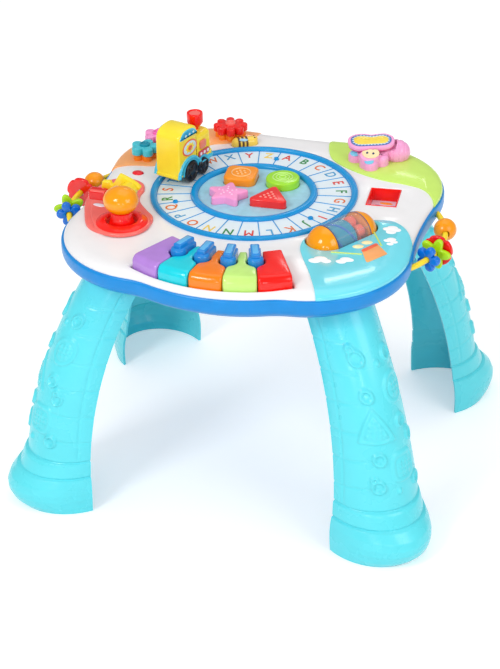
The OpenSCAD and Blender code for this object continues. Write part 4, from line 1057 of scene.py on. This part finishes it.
give(inner_parts.object("roller_inside", looks(("sleeve_teal", (0, 142, 172), 0.3),
    ("ribbon_blue", (14, 104, 190), 0.3), ("disc_salmon", (252, 106, 76), 0.3),
    ("core_grey", (150, 150, 176), 0.4))), "roller", "rattle_red")

# --- flower spinners on the sunset patch
def petal_radius(theta, petals, r, lobe, core, start=18):
    best = core
    for k in range(petals):
        d = theta - radians(k * 360 / petals + start)
        dist = (r - lobe) * sin(d)
        if cos(d) > 0 and abs(dist) < lobe:
            best = max(best, (r - lobe) * cos(d) + sqrt(lobe ** 2 - dist ** 2))
    return best


def petal_pts(cx, cy, petals, r, lobe, core):
    return [arc(petal_radius(t, petals, r, lobe, core), [t], cx, cy)[0] for t in turns(140)]


HUB = plastic("hub_orange", (252, 132, 18), 0.25)
hubs = Build()
SPINNERS = [("flower_teal", -172, 92, 5, 18.3, 6.6, (72, 200, 216), (20, 150, 176)),
            ("flower_pink", -168, 130, 5, 18.3, 6.6, (252, 158, 212), (246, 110, 186)),
            ("flower_red", -88, 180, 8, 21.5, 5.4, (240, 30, 26), (250, 108, 100))]
for name, x, y, petals, r, lobe, rgb, dark in SPINNERS:
    hubs.add(slab(petal_pts(x, y, petals, r - 2.2, lobe - 0.8, r - 8), 326.8, 334.1, 1.0, 0, 3))
    b = Build()
    core = r * 0.56
    b.add(slab(petal_pts(x, y, petals, r, lobe, core), 334.6, 343.6, 1.7, 1.0, 4), 0)
    for k in range(petals):
        a = radians(k * 360 / petals + 18)
        d = r - lobe
        b.add(ring_shape(lobe * 0.58, 0.5, 343.6, n=24, h=0.35),
            at=move(x + d * cos(a), y + d * sin(a)))
    b.add(lathe([(0, 343), (6.4, 343), (6.4, 345.4), (5.6, 346.2), (4.4, 346.2), (3.8, 345),
        (0, 344.8)], 40), 1, move(x, y))
    give(b.object(name + "_petals", looks((name, rgb, 0.24, 0.3), (name + "_hub", dark, 0.25))),
         name, name, name)
give(hubs.object("spinner_hubs", [HUB]), ROOT, "sunset_orange")

# --- bee button
bee = Build().add(slab(bee_pts(0), 321, 335.6, 7.0, 0, 8), 0)


def stripe(x0, x1, grow=0.25, soft=7.0, top=335.9):
    half = BEE_R + grow
    row = [(-half, 323)] + [(-half + soft * (1 - cos(a)), top - soft + soft * sin(a))
                            for a in linspace(0, pi / 2, 9)]
    row += [(-y, z) for y, z in row[::-1]]
    return loft([[(x, y, z) for y, z in row] for x in (x0, x1)])


for x in (-9.5, -4.5, 0.5):
    bee.add(stripe(x, x + 2.6), 1, BEE_AT)
bee.add(turned(move(-3, -4.4, 334.2, -20), ball(6.2, 3.4, 1.4)), 2, BEE_AT)
bee.add(turned(move(9, 0.4, 332), ball(8, 6.6, 3.4)), 0, BEE_AT)
for y in (-2.4, 2.4):
    bee.add(turned(move(12.4, y, 334.7), ball(1.1, 1.1, 0.9, 12, 8)), 1, BEE_AT)
give(bee.object("bee_cap", looks(("bee_yellow", (254, 210, 84), 0.22),
    ("bee_dark", (92, 60, 44), 0.3), ("bee_wing", (170, 214, 240), 0.2))), "bee_button",
    "bee_yellow", "bee_button")

# --- bug with a drum pad
BUG_MATS = looks(("bug_pink", (253, 168, 216), 0.2, 0.35), ("bug_face", (254, 226, 176), 0.3),
    ("bug_dark", (60, 70, 110), 0.2), ("bug_patch", (124, 206, 236), 0.25),
    ("bug_groove", (226, 84, 150), 0.3))
FOOT = 327.0
PAD = (101, 160, 352)
PAD_TILT, PAD_TURN = 10, 15


def under_pad(p, gap=9.2):
    """Point kept below the tilted pad by a gap, and above the bug's foot."""
    top = PAD[2] + (p[1] - PAD[1]) * tan(radians(PAD_TILT)) - gap / cos(radians(PAD_TILT))
    return (p[0], p[1], max(FOOT, min(p[2], top)))


def mass(x, y, r, h, soft):
    """Round mass with a softened upper edge, standing at FOOT."""
    e = min(r, h) * soft
    prof = [(0, 0), (r, 0)] + arc(e, linspace(0, pi / 2, 8), r - e, h - e) + [(r * 0.3, h + 0.5),
        (0, h + 0.6)]
    v, f = lathe(prof, 56)
    return [(x + a, y + b, FOOT + c) for a, b, c in v], f


def pad_local(p):
    """Place relative to the pad's plan outline."""
    return move(*PAD[:2], 0, PAD_TURN).inverted() @ Vector((p[0], p[1], 0))


def below_lid(shape):
    """Presses a shape down where the lid moves above it."""
    out = []
    for p in shape[0]:
        q = pad_local(p)
        q.x -= max(-12, min(12, q.x))
        out.append(under_pad(p) if q.length < 18.6 else (p[0], p[1], max(FOOT, p[2])))
    return out, shape[1]


bug = Build()
for x, y, r, h, soft in ((101, 162, 23, 17, 0.3), (83, 151, 9.5, 13, 0.8), (106, 133, 9.5, 13, 0.8),
        (103, 139, 12.5, 20, 0.6), (115, 148, 10, 13, 0.5)):
    v, f = mass(x, y, r, h, soft)
    if h == 20:
        v = [(a, b, min(c, 344.6 + (b - 137) * 0.45)) for a, b, c in v]
    bug.add(below_lid((v, f)))
grooves = lathe([(15.6 * sin(a) * (1 - sum(0.05 * exp(-((17 * cos(a) - g) / 0.8) ** 2) for g in (-5,
    3, 10))), 17 * cos(a)) for a in linspace(0, pi, 70)], 64)
shell_at = move(130, 170.5, 335, 14) @ move(tilt=90)
bug.add(below_lid(turned(shell_at, grooves)))
for x, y, z in ((83.2, 145.6, 338.8), (105.4, 127.8, 338.8)):
    bug.add(ball(6.0, 4.6, 1.3, 28, 10), 3, move(x, y, z, 0, 0, 32))
face_at = move(105, 137.5, 345.3, 0, 0, 24)
bug.add(below_lid(turned(face_at, ball(10.8, 8.6, 1.8, 48, 16))), 1)
for x in (-3.8, 3.8):
    bug.add(ball(1.5, 1.8, 0.7, 16, 8), 2, face_at @ move(x, -1.5, 1.6))
give(bug.object("bug_shell", BUG_MATS), ROOT, "bug_pink", "bug_body")

PAD_AT = move(*PAD, roll=PAD_TILT) @ move(turn=PAD_TURN)
BEAN = smooth_line([(-30, 1), (-28, 10), (-19, 16), (-8, 16), (0, 13.8), (8, 15.4), (17, 15),
    (25.5, 9), (28, 0), (25.5, -9), (17, -15), (0, -16), (-18, -15.4), (-27.5, -8.5)][::-1], 6,
    True)


def smooth_ring(pts, n):
    """The same closed line in n even steps."""
    q = [Vector(p) for p in pts] + [Vector(pts[0])]
    run = [0.0]
    for a, b in zip(q, q[1:]):
        run.append(run[-1] + (b - a).length)
    out, k = [], 0
    for i in range(n):
        s = run[-1] * i / n
        while run[k + 1] < s:
            k += 1
        out.append(tuple(q[k].lerp(q[k + 1], (s - run[k]) / max(1e-9, run[k + 1] - run[k]))))
    return out


pad = Build().add(slab(BEAN, -5, 0, 2.0, 1.2, 5), 0, PAD_AT)
pad.add(slab(inset(BEAN, 0.6), -6.4, -4.4, 0.4, 0, 2), 4, PAD_AT)
pad.add(slab(smooth_ring(inset(BEAN, 3.8), 112), -1, 0.25, 0.3, 0, 2), 3, PAD_AT)
teeth = smooth_ring(inset(BEAN, 5.4), 112)
teeth = [(x * 0.86, y * 0.86) if k % 4 < 2 else (x, y) for k, (x, y) in enumerate(teeth)]
pad.add(prism(teeth, -1, 0.42), 1, PAD_AT)
pad.add(slab(smooth_ring(inset(BEAN, 7.6), 96), -1, 0.75, 0.5, 0, 3), 2, PAD_AT)
pad.add(rod(6, -17, -4, 32), 0, PAD_AT)
give(pad.object("drum_lid", [BUG_MATS[0], plastic("pad_band", (206, 232, 250), 0.3),
    plastic("pad_yellow", (250, 216, 76), 0.35, grain=0.3, vary=0.1, scale=260),
    plastic("pad_blue", (74, 110, 178), 0.3), BUG_MATS[4]]), "drum_pad", "bug_pink", "drum_pad")

# --- window with its picture card
outer = window_pts(18.4, 23.4)
well = Build().add(loft([ring_at(outer, 308.6), ring_at(outer, 325.8),
    ring_at(inset(outer, 0.3), 326.3), ring_at(inset(outer, 1.1), 326.3),
    ring_at(inset(outer, 1.5), 325.8), ring_at(inset(outer, 1.9), 318),
    ring_at(inset(outer, 1.9), 310)]))
well.add(slab(window_pts(16.4, 21.4), 309.6, 310.5, 0.1, 0, 1), 1)
for x, y, rx, ry, m in ((140, 52, 9, 6, 2), (131, 66, 5, 5, 3), (149, 67, 5, 5, 3),
        (140, 76, 8, 3, 2), (128, 46, 3, 3, 4), (152, 46, 3, 3, 4)):
    well.add(ball(rx, ry, 0.3, 24, 6), m, move(x, y, 310.5))
give(well.object("window_shell", looks(("window_red", (244, 22, 16), 0.2),
    ("card_pale", (228, 214, 232), 0.5), ("card_orange", (250, 168, 60)),
    ("card_lilac", (182, 140, 200)), ("card_blue", (110, 170, 220)))), ROOT, "window_red",
    "window_well")

# --- bead bars and beads
BAR_BEND = 124.077
BAR_C = {1: 101.923, -1: -105.923}
BAR_Z = 308
BAR_STEPS = 420


def bar_frame(side, a):
    return move(BAR_C[side], 0, BAR_Z, a if side > 0 else 180 - a) @ move(BAR_BEND, 0, 0, roll=90)


bars = Build()
for side in (1, -1):
    angles = [radians(-36.5 + 73 * k / BAR_STEPS) for k in range(BAR_STEPS + 1)]
    path = [(BAR_C[side] + side * BAR_BEND * cos(a), BAR_BEND * sin(a), BAR_Z) for a in angles]
    bars.add(tube(path,
        [3.5 - 0.32 * (0.5 + 0.5 * cos(2 * pi * k / 4.2)) for k in range(BAR_STEPS + 1)], 18))
give(bars.object("bead_bar_pair", [plastic("bar_yellow", (255, 220, 36), 0.24, 0.3)], 60), ROOT,
    "bar_yellow", "bead_bars")


def bead_solid(radius, bore, half, soft, puff=0.0, n=120):
    """Flat bead with a bore, an edge that follows radius(angle) and slightly raised faces."""
    def ring(size, z):
        return [(size(t) * cos(t), size(t) * sin(t), z) for t in turns(n)]

    def mid(t):
        return bore + (radius(t) - soft - bore) * 0.5

    rings = [ring(lambda t: bore, -half + 0.3), ring(mid, -half - puff)]
    for a in linspace(-pi / 2, pi / 2, 11):
        z = copysign(half - soft, a) + soft * sin(a) if abs(a) > 1e-9 else 0
        rings.append(ring(lambda t: radius(t) - soft * (1 - cos(a)), z))
    rings += [ring(mid, half + puff), ring(lambda t: bore, half - 0.3), rings[0]]
    return loft(rings, caps=(False, False))


BEAD_AT = {"ball": (20.5, 15.4), "disc": (6.9, -9.5), "star": (-14.6, -12.8),
    "flower": (-20.5, -20.5)}
BEAD_LOOK = {"ball": ("bead_orange", plastic("bead_orange", (254, 156, 0), 0.28, vary=0.08,
    scale=140)), "disc": ("bead_red", plastic("bead_red", (240, 16, 14), 0.14, 0.5)),
    "star": ("bead_green", plastic("bead_green", (178, 226, 14), 0.26)),
    "flower": ("bead_blue", plastic("bead_blue", (4, 112, 214), 0.22, 0.35))}
BEAD_SHAPE = {"ball": lathe([(4.5, -12.3)] + arc(13.5, linspace(-1.2, 1.2, 19)) + [(4.5, 12.3)], 40,
    True), "disc": bead_solid(lambda t: 18.5 - 1.7 * max(0, cos(5 * t + 1.2)) ** 6, 4.3, 2.75, 1.4,
    0.15), "star": bead_solid(lambda t: 11.0 + 8.6 * (0.5 + 0.5 * cos(5 * t)) ** 0.85, 4.3, 2.75,
    2.1, 0.35), "flower": bead_solid(lambda t: petal_radius(t, 5, 15.7, 5.6, 8.6, 0), 4.3, 4, 3.2,
    0.3)}
for kind, (left, right) in BEAD_AT.items():
    slot, mat = BEAD_LOOK[kind]
    for side, a, word in ((-1, left, "left"), (1, right, "right")):
        body = "%s_bead_%s" % (kind, word)
        b = Build().add(BEAD_SHAPE[kind], 0, bar_frame(side, a))
        give(b.object(body + "_solid", [mat], 40), body, slot, body)

# --- train; its own frame has its front along -Y
TRAIN = move(*TRACK, 0, TRAIN_TURN) @ move(TRAIN_R)
TX = 3.0
FLANK = 17.5
WHEELS_Y = 12.7
DECAL = (14, 371.6)
TRAIN_MATS = looks(("train_yellow", (255, 226, 52), 0.22, 0.3),
    ("train_trim", (70, 196, 226), 0.25), ("train_glass", (6, 158, 204), 0.16),
    ("decal_red", (206, 70, 84), 0.3), ("decal_salmon", (244, 134, 106), 0.3),
    ("decal_pale", (206, 234, 238), 0.3), ("decal_orange", (240, 106, 58), 0.3),
    ("decal_white", (244, 240, 244), 0.3))


def side_solid(pts, half, soft):
    """Solid over an outline in (y, z), spread across the train to both sides of its middle."""
    v, f = slab(pts, -half, half, soft, soft, 5)
    return [(TX + w, y, z) for y, z, w in v], [tuple(reversed(q)) for q in f]


arch = arc(16.9, linspace(radians(166), radians(-8), 24), WHEELS_Y, 339.5)
roof = smooth_line([(37, 382), (36.6, 386.5), (35, 391), (31, 395), (24, 397.4), (16, 398.3),
    (8, 397.9), (1.2, 395.6), (-2.2, 391.4), (-3, 386)], 4)
cab = counter_clockwise(roof + [(-3, 343.6)] + arch + [(29.6, 337.2), (37, 337.2)])
cab_v, cab_f = side_solid(cab, FLANK, 3.0)


def narrowed(verts):
    """Leans the outer flank in towards the roof."""
    return [TRAIN @ Vector((TX + (x - TX) * (1 - 0.05 * smooth_step((z - 350) / 40) * (x > TX)), y,
        z)) for x, y, z in verts]


train = Build().add((narrowed(cab_v), cab_f))
plan = rounded(TX - 16, -38, TX + 16, 4, [10.5, 10.5, 0.5, 0.5], 7)
boiler = Build().add(slab(plan, 344.6, 378, 6.0, 0.6, 6), 0, TRAIN)
boiler.add(slab(rounded(TX - 17.6, -39.4, TX + 17.6, 4, [10, 10, 0.5, 0.5], 7), 344, 349.5, 1.2,
    0.5, 3), 0, TRAIN)
boiler_obj = boiler.object("train_boiler", TRAIN_MATS[:1])
for y, z, r in ((-WHEELS_Y, 337.0, 12.2), (WHEELS_Y, 339.5, 15.2)):
    boolean(boiler_obj, cutter(turned(TRAIN @ move(TX, y, z, tilt=90), rod(r, -40, 40, 48))),
        fuse=True)
give(boiler_obj, "train", "train_yellow")
window_line = smooth_line([(-1.4, 385.4), (-0.6, 389), (5.2, 394), (14.6, 396.2), (24.1, 395.9),
    (30.6, 392.4), (33.2, 386.6), (16, 385.9)], 5, True)
window_line = counter_clockwise(window_line)


def side_plate(pts, depth, mat, soft=0.3):
    """Thin plate on each flank of the train."""
    for s in (-1, 1):
        v, f = slab(pts, FLANK - 1.1, FLANK + depth, soft, 0, 2)
        train.add((narrowed([(TX + s * w, y, z) for y, z, w in v]), f), mat)


def oval(cy, cz, ry, rz, n=40):
    return [(cy + ry * cos(t), cz + rz * sin(t)) for t in turns(n)]


side_plate(window_line, 0.35, 1)
side_plate(inset(window_line, 1.7), 0.6, 2)
for y in (6, 14, 22):
    side_plate(oval(y, 389.6, 2.0, 1.6, 20), 0.75, 5)
side_plate(rounded(-30, 342.8, -6.4, 347.4, 1.6, 4), 0.7, 1, 0.5)
side_plate(oval(*DECAL, 15.2, 10.4), 0.35, 6)
side_plate(oval(*DECAL, 13.0, 8.5), 0.55, 5)
sun = []
for k, t in enumerate(turns(16)):
    r = 5.6 if k % 2 else 8.0
    sun.append((DECAL[0] + r * 1.25 * cos(t), DECAL[1] + r * 0.88 * sin(t)))
side_plate(sun, 0.75, 0)
side_plate(oval(*DECAL, 4.4, 3.2, 24), 0.95, 6)
side_plate(rounded(-27.5, 349.8, -5.5, 357.4, 2.2, 4), 0.2, 3)
for y in (-24.6, -17.3, -10):
    side_plate(oval(y, 353.6, 2.2, 2.2, 20), 0.4, 7)
side_plate(rounded(-21.5, 359.6, -8.5, 370.4, 3.0, 4), 0.2, 4)
trim = [(37.2, 339.6), (34.4, 347.5), (30.6, 353.6), (24.6, 357.8), (17.8, 359.6), (10, 359.2),
    (3.3, 356.6), (-3.2, 351), (-6.6, 347.4), (-9.6, 345.6), (-16, 345.2), (-28, 345.6)]
for s in (-1, 1):
    line = [(TX + s * 17.4, y, z - 1.6) for y, z in smooth_line(trim, 4)]
    for k in range(7):
        a = radians(90 * k / 6)
        line.append((TX + s * (17.4 - 10.4 * (1 - cos(a))), -29 - 10.4 * sin(a), 343.7))
    train.add(tube(line, 2.3, 12), 1, TRAIN)
train.add(slab(rounded(TX - 17.6, 33.5, TX + 17.6, 38, 1.4, 3), 336.4, 341.4, 1.2, 1.2, 3), 0,
    TRAIN)
train.add(turned(move(TX, -38.6, 362, roll=90), lathe([(0, 0), (6.5, 0), (6.5, 0.9), (5.6, 1.5),
    (4.8, 1.0), (0, 0.9)], 32)), 5, TRAIN)
give(train.object("train_cab", TRAIN_MATS), "train", "train_yellow", "train_body")

chimney = Build().add(lathe([(0, 376.7), (4.2, 376.7), (4.2, 379.5), (5, 380.3), (7.2, 383.2),
    (9.2, 386), (9.7, 387.4), (10, 396.5), (9.8, 398.8), (9.4, 399.4), (8.6, 399.5), (7.8, 399),
    (7.2, 398), (0, 397.7)], 56), 0, TRAIN @ move(TX, -24))
chimney.add(lathe([(0, 397.5), (6.9, 397.5), (6.9, 398.3), (0, 398.4)], 40), 1,
    TRAIN @ move(TX, -24))
give(chimney.object("train_funnel", looks(("funnel_red", (248, 22, 12), 0.18, 0.4),
    ("funnel_top", (250, 110, 102), 0.25))), "chimney", "train_red", "train_chimney")

BLACK = plastic("wheel_black", (26, 26, 30), 0.3, vary=0.1)
HUBCAP = plastic("wheel_hub", (52, 52, 60), 0.25)
for name, y, r in (("wheels_rear", WHEELS_Y, 13.0), ("wheels_front", -WHEELS_Y, 10.5)):
    b = Build()
    axle = TRAIN @ move(0, y, 326.5 + r, tilt=90)
    b.add(rod(2, -16, 16, 20), 0, axle)
    for s in (0, 180):
        at = axle @ move(roll=s)
        b.add(lathe([(0, 12), (r - 0.9, 12), (r, 12.9), (r, 16), (r - 0.9, 17), (r * 0.8, 17),
            (r * 0.72, 15.6), (r * 0.4, 15.4), (r * 0.34, 16.8), (r * 0.14, 17.2), (0, 17)], 48), 0,
            at)
        for k in range(5):
            b.add(slab(rounded(r * 0.3, -1.1, r * 0.76, 1.1, 0.5, 3), 15.2, 16.4, 0.4, 0, 2), 1,
                at @ move(turn=72 * k))
    give(b.object(name + "_pair", [BLACK, HUBCAP]), name, "wheel_black", name)

# --- pictures on the sky patch
SKY_TOP = 327.2
art = Build()


def blob(px, py, rx, ry, mat, h=0.35, turn=0):
    art.add(disc_at(px, py, SKY_TOP, rx, ry, h, turn), mat)


for px, py, r in ((314.5, 260.5, 7), (320.5, 259, 8), (326, 261, 6), (341, 261.5, 6),
        (346, 259.5, 7), (349.5, 260, 5), (387.5, 229, 5.5), (392.5, 228, 6.5), (396, 230, 6),
        (391, 232, 6), (387.5, 240.5, 4.5), (391.5, 239.5, 5.5), (394, 242, 4.5), (390, 244, 4)):
    blob(px, py, r, r * 0.8, 0)


def flat_quad(corners, mat, h=0.5):
    pts = counter_clockwise([tuple(unproject(px, py, SKY_TOP))[:2] for px, py in corners])
    art.add(slab(fillet(pts, 2.0, 4), SKY_TOP - 0.3, SKY_TOP + h, 0.2, 0, 2), mat)


flat_quad([(362, 251.5), (377.5, 244.2), (387.5, 254), (366.5, 263)], 1)
flat_quad([(361.2, 250.2), (376.6, 243.2), (378.4, 245.4), (362.8, 252.8)], 2, 0.8)
for a, b2 in (((331, 252.3), (362, 254.4)), ((373.5, 231.5), (381.5, 246))):
    p, q = unproject(*a, SKY_TOP), unproject(*b2, SKY_TOP)
    art.add(tube([p, p.lerp(q, 0.5), q], 1.0, 10), 3)
blob(358, 246.5, 6.5, 4.5, 4, 0.5, 20)
blob(367, 242.5, 6.5, 4.5, 4, 0.5, 20)
give(art.object("sky_picture", looks(("cloud_white", (250, 250, 252), 0.3),
    ("basket_orange", (253, 170, 100), 0.3), ("basket_edge", (244, 100, 66), 0.3),
    ("rope_lime", (206, 228, 110), 0.4), ("sack_cream", (252, 234, 176), 0.35))), ROOT, "sky_aqua")

# --- pieces that keep their CAD shape
KEPT = [("key_frame", (214, 216, 218), 0.5), ("switch_domes", (84, 84, 88), 0.7),
    ("main_board", (40, 110, 60), 0.45), ("speaker", (60, 60, 64), 0.6),
    ("battery_door", (0, 146, 216), 0.28), ("battery_cells", (150, 152, 156), 0.3),
    ("screws", (176, 178, 182), 0.3), ("power_slider", (40, 40, 44), 0.45),
    ("train_chassis", (60, 186, 220), 0.28), ("roller_beads", (232, 70, 54), 0.2)]
for name, rgb, rough in KEPT:
    mat = plastic(name + "_finish", rgb, rough, 0.1, vary=0.06, grain=0.05)
    if name in ("screws", "battery_cells"):
        put(mat.node_tree.nodes["Principled BSDF"], Metallic=0.85)
    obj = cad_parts[name]
    if not obj.data.materials:
        obj.data.materials.append(mat)
    for slot_i in range(len(obj.material_slots)):
        obj.material_slots[slot_i].material = mat

# --- floor and light
FLOOR_LIFT = 0.34
WORLD_LIGHT, GLOSSY_DROP = 0.64, -0.36
HALF_FLOOR, FLOOR_Z = 9000, -0.3
floor_mat = bpy.data.materials.new("floor")
floor_mat.use_nodes = True
nt = floor_mat.node_tree
fb = put(nt.nodes["Principled BSDF"], Base_Color=(0.86, 0.86, 0.86, 1), Roughness=0.9,
    Specular_IOR_Level=0.1, Emission_Color=(1, 1, 1, 1))
rays = light_path(nt)
seen = math_node(nt, "MAXIMUM", rays["Is Camera Ray"], rays["Is Glossy Ray"])
seen = math_node(nt, "MAXIMUM", seen, rays["Is Transmission Ray"])
nt.links.new(math_node(nt, "MULTIPLY", seen, FLOOR_LIFT), fb.inputs["Emission Strength"])
corners = ring_at(box_pts(-HALF_FLOOR, -HALF_FLOOR, HALF_FLOOR, HALF_FLOOR), FLOOR_Z)
floor = new_object("floor", corners, [(0, 1, 2, 3)], [floor_mat])

world = bpy.data.worlds.new("world")
bpy.context.scene.world = world
world.use_nodes = True
wt = world.node_tree
background = put(wt.nodes["Background"], Color=(1, 1, 1, 1))
wt.links.new(math_node(wt, "MULTIPLY_ADD", light_path(wt)["Is Glossy Ray"], GLOSSY_DROP,
    WORLD_LIGHT), background.inputs["Strength"])


def softbox(name, at, aim, w, h, watts):
    data = bpy.data.lights.new(name, "AREA")
    data.shape = "RECTANGLE"
    data.size, data.size_y = w, h
    data.energy = watts
    obj = bpy.data.objects.new(name, data)
    bpy.context.collection.objects.link(obj)
    obj.location = at
    obj.rotation_mode = "QUATERNION"
    obj.rotation_quaternion = (Vector(aim) - Vector(at)).to_track_quat("-Z", "Y")


softbox("key_box", (-0.9, -1.9, 1.9), (0, 0, 0.3), 0.7, 0.7, 22)
softbox("fill_box", (1.9, -1.0, 1.5), (0, 0, 0.25), 1.2, 1.2, 14)
softbox("top_box", (0.0, 0.6, 2.3), (0, 0, 0.3), 1.6, 1.6, 6)
softbox("back_strip", (-0.28, 1.54, 1.29), (0.16, -0.17, 0.33), 0.2, 0.09, 0.4)
for name, x in (("front_left", 0.0), ("front_right", 0.95)):
    softbox(name, (x, -2.2, 0.75), (0, 0, 0.3), 0.3, 0.3, 3.0)
